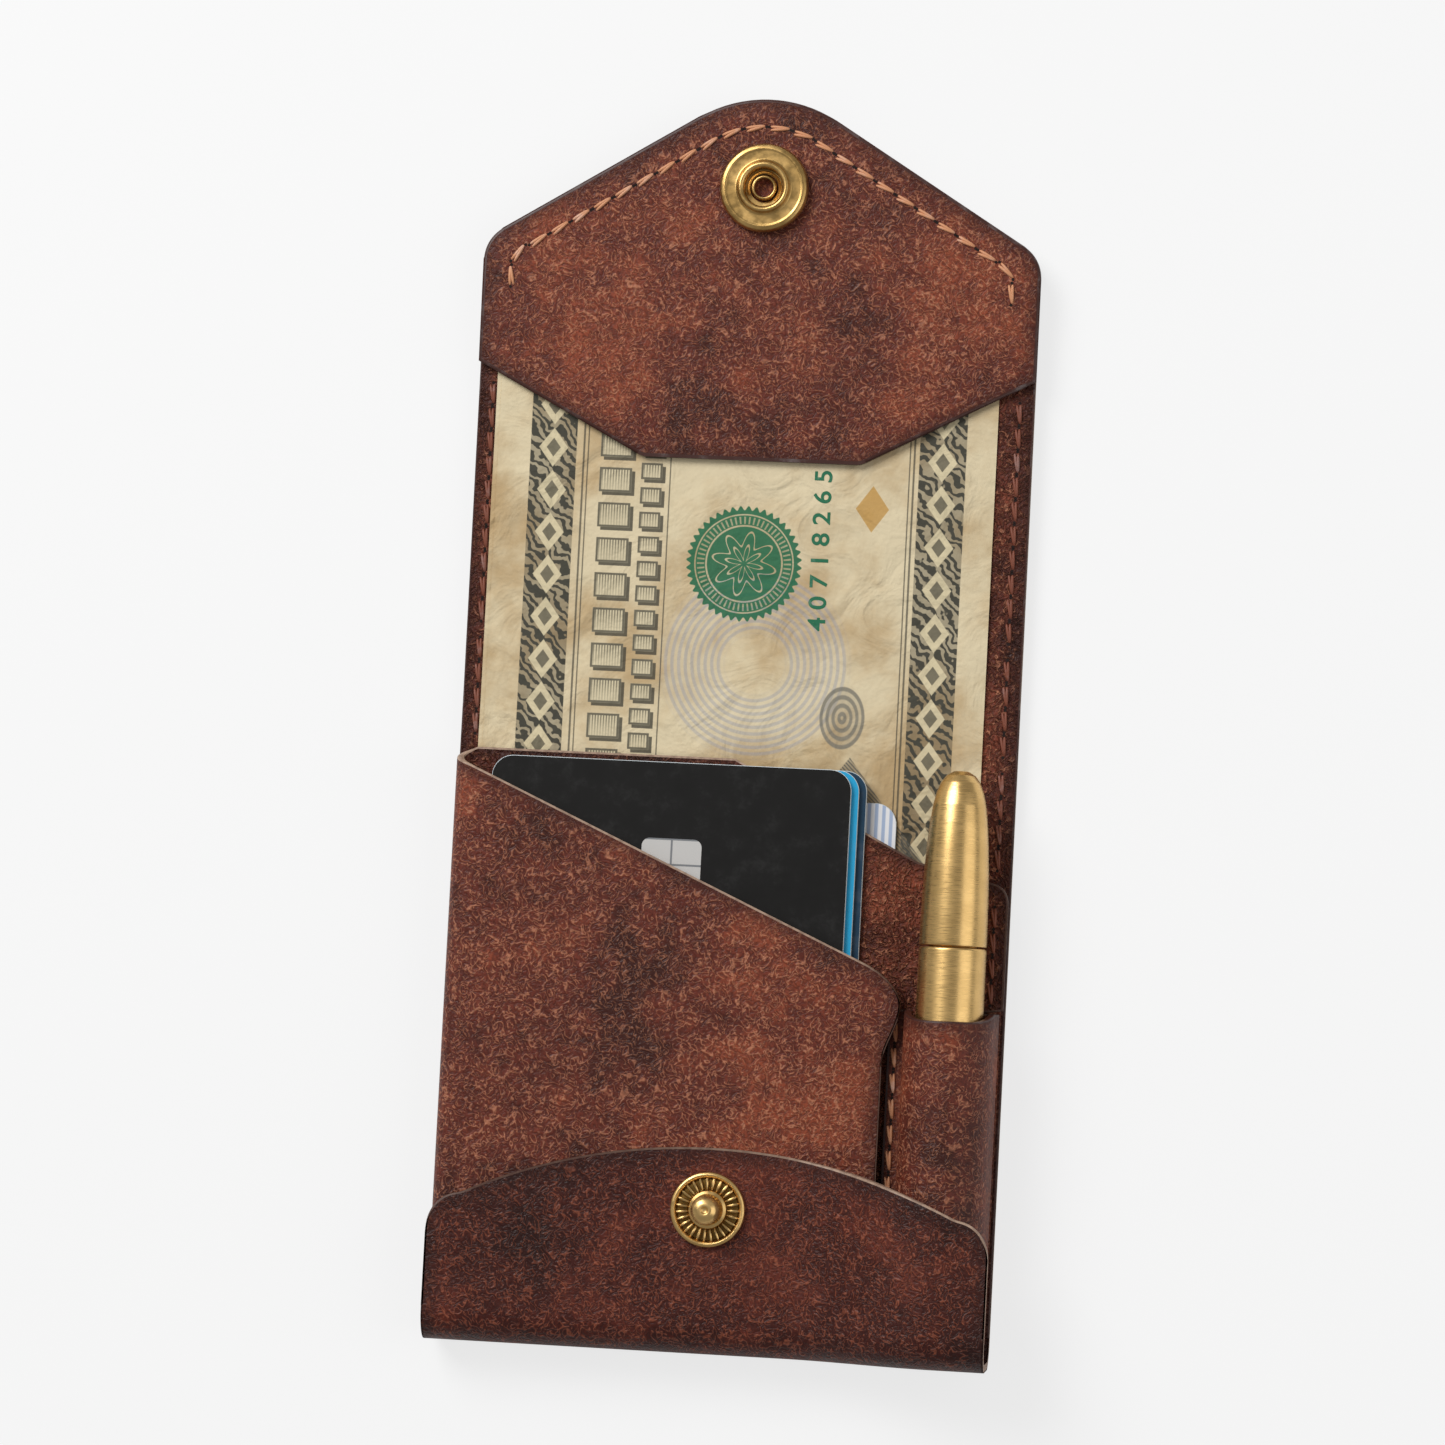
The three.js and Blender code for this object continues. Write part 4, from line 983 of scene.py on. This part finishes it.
class WALLET_OT_stitches(bpy.types.Operator):
    """Sews the seams: each stitch is two twisted plies that dip into a hole at each end, drawn as a
    dark disc of painted shade
    """

    bl_idname = "wallet.stitches"
    bl_label = "Stitches"

    def seam(self, name, points, z, body, node, pale=False):
        mesh = bmesh.new()
        for at, way in along(points, STITCH_PITCH):
            angle = math.atan2(way.y, way.x) + math.radians(7)
            for side in (-1, 1):
                made = bmesh.ops.create_uvsphere(mesh, u_segments=10, v_segments=8, radius=1)
                twist = angle + side * math.radians(5)
                for vert in made["verts"]:
                    length, width, height = vert.co.z, vert.co.x, vert.co.y
                    length = math.copysign(abs(length) ** 0.8, length)
                    sunk = 0.32 * abs(length) ** 4
                    local = Vector((length * STITCH_REACH, width * 0.25 + side * 0.15, 0))
                    local.rotate(Matrix.Rotation(twist, 2).to_3x3().to_quaternion())
                    vert.co = (at.x + local.x, at.y + local.y, z + 0.1 + height * 0.28 - sunk)
            # Each end of a stitch gets a dark disc: the painted shade inside its pricked hole.
            for end in (-1, 1):
                made = bmesh.ops.create_circle(mesh, cap_ends=True, segments=10, radius=0.24)
                for vert in made["verts"]:
                    x, y = at + way * end * 1.66
                    vert.co = (x + vert.co.x, y + vert.co.y, z + 0.012)
                for face in {face for vert in made["verts"] for face in vert.link_faces}:
                    face.material_index = 1
        for vert in mesh.verts:
            vert.co = laid(*vert.co, body == "flap")
        # Seams that are not pale get the darker copy of the thread, which is painted shade.
        materials = ("thread" if pale else "shaded thread", "hole shade")
        new_piece(name, mesh, materials, body, (node,), sharp=60)

    def execute(self, context):
        side = HALF - 2.2
        runs = {
            "left_back": (-side, 5.8, CREASE_LOW - 1, "pocket"),
            "right_back": (side, 73.6, CREASE_LOW - 1, "pocket"),
            "left_spine": (-side, CREASE_LOW + 1, CREASE_HIGH - 1, "spine"),
            "right_spine": (side, CREASE_LOW + 1, CREASE_HIGH - 1, "spine"),
            "left_flap": (-side, CREASE_HIGH + 1, 144, "flap"),
            "right_flap": (side, CREASE_HIGH + 1, 144, "flap"),
        }
        for name, (x, y0, y1, body) in runs.items():
            points = [Vector((x, y0)), Vector((x, y1))]
            self.seam("stitch_" + name, points, Z_NOTE, body, "thread_" + name)
        points = rounded(flap_corners(4.2, 0), steps=24)
        start = flap_corners(4.2, 0)[1][1] - 5
        points[0].y = points[-1].y = start
        self.seam("stitch_flap", points, Z_LINING_TOP, "flap", "thread_flap", pale=True)
        points = [Vector((side, SLEEVE_TOP + 1)), Vector((side, 68.6))]
        self.seam("stitch_pocket_side", points, Z_CARDS, "pocket", "thread_pocket_side")
        x = PEN_X - SLEEVE_R - 0.55 - 2
        points = [Vector((x, 5.3)), Vector((x, 51))]
        self.seam("stitch_sleeve", points, Z_CARDS + 1.3, "pocket", "thread_sleeve", pale=True)
        return {"FINISHED"}


class WALLET_OT_notes(bpy.types.Operator):
    """Lays the two banknotes, handled and faintly crinkled"""

    bl_idname = "wallet.notes"
    bl_label = "Notes"

    def number(self, context, place):
        """Prints a plain serial number up the note, as thin shapes on its surface."""
        curve = bpy.data.curves.new("number", "FONT")
        curve.body = "40718265"
        curve.size = 4.1
        curve.space_character = 1.55
        curve.offset = 0.06
        text = bpy.data.objects.new("number", curve)
        context.collection.objects.link(text)
        drawn = text.evaluated_get(context.evaluated_depsgraph_get())
        shape = bpy.data.meshes.new_from_object(drawn)
        bpy.data.objects.remove(text)
        mesh = bmesh.new()
        mesh.from_mesh(shape)
        bmesh.ops.triangulate(mesh, faces=mesh.faces)
        for vert in mesh.verts:
            x, y = 12.2 - vert.co.y * 0.9, 108.4 + vert.co.x
            share = (x - NOTE_LEFT) / (NOTE_RIGHT - NOTE_LEFT)
            z = place(share, (y - NOTE_FOOT) / (NOTE_TOP - NOTE_FOOT))[2]
            vert.co = laid(x, y, z + 0.1, True)
        bmesh.ops.recalc_face_normals(mesh, faces=mesh.faces)
        new_piece("note_number", mesh, ("green ink",), "flap")

    def execute(self, context):
        def note(z, shift=0.0, low=NOTE_FOOT, high=NOTE_TOP):
            def place(u, v):
                x = NOTE_LEFT + shift + (NOTE_RIGHT - NOTE_LEFT) * u
                y = low + (high - low) * v
                # Only the open stretch between pocket and lining lifts off what is below.
                free = smooth((y - 84) / 8) * smooth((136 - y) / 8)
                wave = math.sin(x * 0.31 + y * 0.11) * math.sin(y * 0.23 - x * 0.07 + 1.3)
                return x, y, z + 0.12 * free * (1 + wave)

            return place

        self.number(context, note(2.325))
        notes = (("note_under", -0.7, 2.175, "plain note"), ("note_top", 0.0, 2.325, "note"))
        for name, shift, z, material in notes:
            materials = (material, "plain note")
            mesh = curved_surface(40, 120, note(z, shift, high=MID_SPINE + 2))
            thicken(mesh, 0.12, 0, keep="below")
            nodes = (name + "_back",)
            piece = new_piece(name + "_low", mesh, materials, None, nodes)
            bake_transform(piece)
            mesh = curved_surface(40, 90, note(z, shift, low=MID_SPINE - 2), tilts=True)
            thicken(mesh, 0.12, 0, keep="above")
            nodes = (name + "_spine", name + "_flap")
            piece = new_piece(name + "_high", mesh, materials, None, nodes)
            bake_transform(piece)
        return {"FINISHED"}


class WALLET_OT_cards(bpy.types.Operator):
    """Stacks the four cards and the contact plate"""

    bl_idname = "wallet.cards"
    bl_label = "Cards"

    def execute(self, context):
        bank = CARD_WIDTH, CARD_LENGTH, 0.8
        cards = (
            ("navy", "card_navy", -34.0, 1.9, *bank, Z_CARDS, "navy card", "card_navy"),
            ("blue", "card_blue", -35.1, 1.9, *bank, 5.1, "blue card", "card_blue"),
            ("black", "card_black", -36.2, 1.9, *bank, 5.9, "black card", "card_black"),
            ("striped", "card_small", -25.5, 3.0, 50.0, 80.0, 0.55, 2.45, "striped", "card_white"),
        )
        for name, node, x, y, width, length, t, z, material, slot in cards:
            corners = ((x, y), (x + width, y), (x + width, y + length), (x, y + length))
            outline = rounded([(*corner, CARD_CORNER) for corner in corners], steps=10)
            mesh = flat_surface(outline, z + t / 2, ring=0)
            thicken(mesh, t - 0.02, 0.08, segments=1)
            sides = (material, "white edge")
            new_piece(f"card_{name}_piece", mesh, sides, "pocket", (node,))
        corners = ((-13.1, 64.5), (-4.1, 64.5), (-4.1, 76.1), (-13.1, 76.1))
        outline = rounded([(*corner, 1.2) for corner in corners])
        mesh = flat_surface(outline, Z_CARDS_TOP + 0.01, ring=0)
        thicken(mesh, 0.06, 0.02, segments=1)
        new_piece("contact_plate", mesh, ("chip", "chip"), "pocket", ("card_chip",))
        return {"FINISHED"}


class WALLET_OT_pen(bpy.types.Operator):
    """Turns the brass pocket pen: cap and barrel"""

    bl_idname = "wallet.pen"
    bl_label = "Pen"

    def execute(self, context):
        r, y, length = 5.0, PEN_SEAM + 0.12, PEN_TIP - PEN_SEAM
        dome = (
            (0.995, 0), (1, 0.02), (0.995, 0.15), (0.98, 0.3), (0.95, 0.45), (0.91, 0.58),
            (0.855, 0.7), (0.79, 0.8), (0.7, 0.875), (0.585, 0.93), (0.43, 0.97), (0.22, 0.994),
        )
        cap = [
            (3.85, y + 0.3), (4.8, y), *((r * a, y + length * b) for a, b in dome), (0, PEN_TIP),
            (0, PEN_TIP - 3.2), (1.7, PEN_TIP - 3.8), (1.7, 82.4), (3.85, 78.4), (3.85, y + 0.3),
        ]
        barrel = [
            (0, 2.6), (2.75, 2.9), (4.25, 3.8), (4.85, 5.6), (r, 8.6), (r, 61.6), (4.8, 61.9),
            (3.6, 61.9), (3.6, 78), (1.6, 81.6), (1.35, 81.6), (1.35, 22), (0, 22),
        ]
        rows = (
            ("pen_cap_piece", cap, "pen_top", "pen_cap"),
            ("pen_barrel_piece", barrel, "pocket", "pen_barrel"),
        )
        for name, profile, body, node in rows:
            centre, brass = (PEN_X, 0, PEN_Z), ("pen",)
            turned(name, profile, centre, True, brass, body, (node,))
        return {"FINISHED"}


class WALLET_OT_snap(bpy.types.Operator):
    """Turns the snap: stud with its ribbed dish, socket and cap"""

    bl_idname = "wallet.snap"
    bl_label = "Snap"

    def execute(self, context):
        z = Z_TURN_TOP
        stud = [
            (1.25, Z_FRONT), (1.7, Z_FRONT), (1.7, z), (5.3, z), (5.6, z + 0.35), (5.5, z + 0.8),
            (5.15, z + 1.0), (4.8, z + 0.85), (4.62, z + 0.2), (2.95, z + 0.2), (2.8, z + 0.85),
            (2.3, z + 1.1), (1.9, z + 2), (1.9, z + 3), (2.2, z + 3.8), (2.12, z + 4.4),
            (1.65, z + 5), (1.05, z + 5.35), (0.6, z + 5.4), (0.35, z + 5.1), (0, z + 5.05),
            (0, z + 2.4), (1.25, z + 2.2), (1.25, Z_FRONT),
        ]
        # A dark brass disc in the dish between the ribs paints the shade in the gaps.
        recess = [(3.0, z + 0.2), (4.55, z + 0.2), (4.55, z + 0.3), (3.0, z + 0.3), (3.0, z + 0.2)]
        centre, brass, dull = (0, STUD_Y, 0), ("bright brass",), ("brass in painted shade",)
        turned("stud", stud, centre, False, brass, "pocket", ("snap_stud",), steps=108)
        turned("stud_recess", recess, centre, False, dull, "pocket", ())
        ribs, count = bmesh.new(), 27
        for i in range(count):
            made = bmesh.ops.create_uvsphere(ribs, u_segments=10, v_segments=6, radius=1)
            turn = Matrix.Rotation(2 * math.pi * i / count, 3, "Z")
            for vert in made["verts"]:
                wide, tall, out = vert.co
                wide *= 0.28 * (1 + 0.25 * out)  # a rib is wider towards the rim
                local = turn @ Vector((3.8 + out * 0.98, wide, tall * 0.52))
                vert.co = laid(*(local + Vector((0, STUD_Y, z + 0.5))), False)
        new_piece("stud_ribs", ribs, brass, "pocket")
        z = Z_LINING_TOP
        top = z + 2.6
        post = top - 1
        socket = [
            (2.1, z), (6.3, z), (6.7, z + 0.5), (6.7, z + 1.15), (6.4, z + 1.72), (5.85, z + 1.92),
            (5.6, z + 1.8), (4.2, z + 1.8), (3.9, z + 2.1), (3.72, top - 0.1), (3.45, top),
            (3.15, top - 0.08), (2.9, top - 0.4), (2.9, z + 0.6), (2.1, z + 0.6), (2.1, z),
        ]
        cap = [
            (0, -1.2), (2, -1.2), (4.5, -0.98), (6.0, -0.6), (6.5, -0.2), (6.5, 0), (1.9, 0),
            (1.9, post - 0.3), (1.75, post), (1.5, post), (1.4, post - 0.2), (1.4, 0.8), (0, 0.8),
        ]
        # A dark disc on the floor of the cap's hollow post paints the shade inside it.
        hollow = [(0, 0.85), (1.38, 0.85), (1.38, 0.95), (0, 0.95)]
        centre, brass, dark = (0, SOCKET_Y, 0), ("brass",), ("hole shade",)
        turned("socket", socket, centre, False, brass, "flap", ("snap_socket",), steps=108)
        turned("outer_cap", cap, centre, False, brass, "flap", ("snap_cap",))
        turned("post_bottom", hollow, centre, False, dark, "flap", ())
        # Solids of the CAD that show as they are, and only get a finish
        shown = ("snap_spring", "pen_refill", "stud_rivet", "welt_right")
        for node, material in zip(shown, ("bright brass", "steel", "brass", "packing")):
            solid = frame["nodes"][node]
            solid.data.materials.clear()
            solid.data.materials.append(MATERIALS[material])
        return {"FINISHED"}


class WALLET_OT_stage(bpy.types.Operator):
    """Sets the pale floor, the soft lights and the camera"""

    bl_idname = "wallet.stage"
    bl_label = "Stage"

    def execute(self, context):
        stage = context.scene.wallet_stage
        mesh = bmesh.new()
        bmesh.ops.create_grid(mesh, x_segments=1, y_segments=1, size=3)
        data = bpy.data.meshes.new("floor")
        mesh.to_mesh(data)
        mesh.free()
        floor = bpy.data.objects.new("floor", data)
        context.collection.objects.link(floor)
        material, tree = new_material("White paper sweep")
        # The camera sees mostly the sweep's even tone, so shadows stay faint.
        lit = add(tree, "BsdfDiffuse", {"Color": linear("#F4F4F4")})
        even = add(tree, "Emission", {"Color": linear("#F7F7F7")})
        seen = add(tree, "LightPath", out=0)
        share = add(tree, "Math MULTIPLY", [seen, stage.evenness])
        mixed = add(tree, "MixShader", [share, lit, even])
        add(tree, "OutputMaterial", {"Surface": mixed})
        data.materials.append(material)
        floor.location.z = -0.0004

        for name, power, size, place in (
            ("key", stage.key, 0.6, (-0.55, 0.6, 0.78)),
            ("fill", stage.fill, 0.6, (0.6, -0.05, 0.5)),
        ):
            lamp = bpy.data.lights.new(name, "AREA")
            lamp.energy = power
            lamp.shape = "SQUARE"
            lamp.size = size
            light = bpy.data.objects.new(name, lamp)
            light.location = place
            light.rotation_euler = (-Vector(place)).to_track_quat("-Z", "Y").to_euler()
            context.collection.objects.link(light)

        world = bpy.data.worlds.new("Surround")
        context.scene.world = world
        world.use_nodes = True
        background = world.node_tree.nodes["Background"]
        background.inputs["Color"].default_value = (1, 1, 1, 1)
        background.inputs["Strength"].default_value = stage.sky

        data = bpy.data.cameras.new("camera")
        data.lens = 133.4
        data.sensor_width = 36
        data.clip_start = 0.01
        camera = bpy.data.objects.new("camera", data)
        turn = Matrix.Identity(4)
        for angle, axis in ((6, "Y"), (3.5, "X"), (3, "Z")):
            turn = turn @ Matrix.Rotation(math.radians(angle), 4, axis)
        target = Vector((-2.14, -0.14, 5)) * MM
        camera.matrix_world = Matrix.Translation(target) @ turn @ Matrix.Translation((0, 0, 0.8))
        context.collection.objects.link(camera)
        context.scene.camera = camera
        context.scene.view_settings.view_transform = "Standard"
        return {"FINISHED"}


PIECES = (
    WALLET_OT_finishes,
    WALLET_OT_outer_leather,
    WALLET_OT_lining,
    WALLET_OT_pocket,
    WALLET_OT_stitches,
    WALLET_OT_notes,
    WALLET_OT_cards,
    WALLET_OT_pen,
    WALLET_OT_snap,
    WALLET_OT_stage,
)


class WALLET_PT_panel(bpy.types.Panel):
    """Lists the wallet's sizes and its pieces"""

    bl_idname = "WALLET_PT_panel"
    bl_label = "Wallet"
    bl_space_type = "VIEW_3D"
    bl_region_type = "UI"
    bl_category = "Wallet"

    def draw(self, context):
        scene = context.scene
        for group in (scene.wallet_leather, scene.wallet_colours, scene.wallet_stage):
            for name in group.__annotations__:
                self.layout.prop(group, name)
        for piece in PIECES:
            self.layout.operator(piece.bl_idname)


CLASSES = (WalletLeather, WalletColours, WalletStage, *PIECES, WALLET_PT_panel)


def register():
    for cls in CLASSES:
        bpy.utils.register_class(cls)
    bpy.types.Scene.wallet_leather = bpy.props.PointerProperty(type=WalletLeather)
    bpy.types.Scene.wallet_colours = bpy.props.PointerProperty(type=WalletColours)
    bpy.types.Scene.wallet_stage = bpy.props.PointerProperty(type=WalletStage)


def unregister():
    del bpy.types.Scene.wallet_stage
    del bpy.types.Scene.wallet_colours
    del bpy.types.Scene.wallet_leather
    for cls in reversed(CLASSES):
        bpy.utils.unregister_class(cls)


def main():
    register()
    for piece in PIECES:
        group, name = piece.bl_idname.split(".")
        getattr(getattr(bpy.ops, group), name)()


if __name__ == "__main__":
    main()
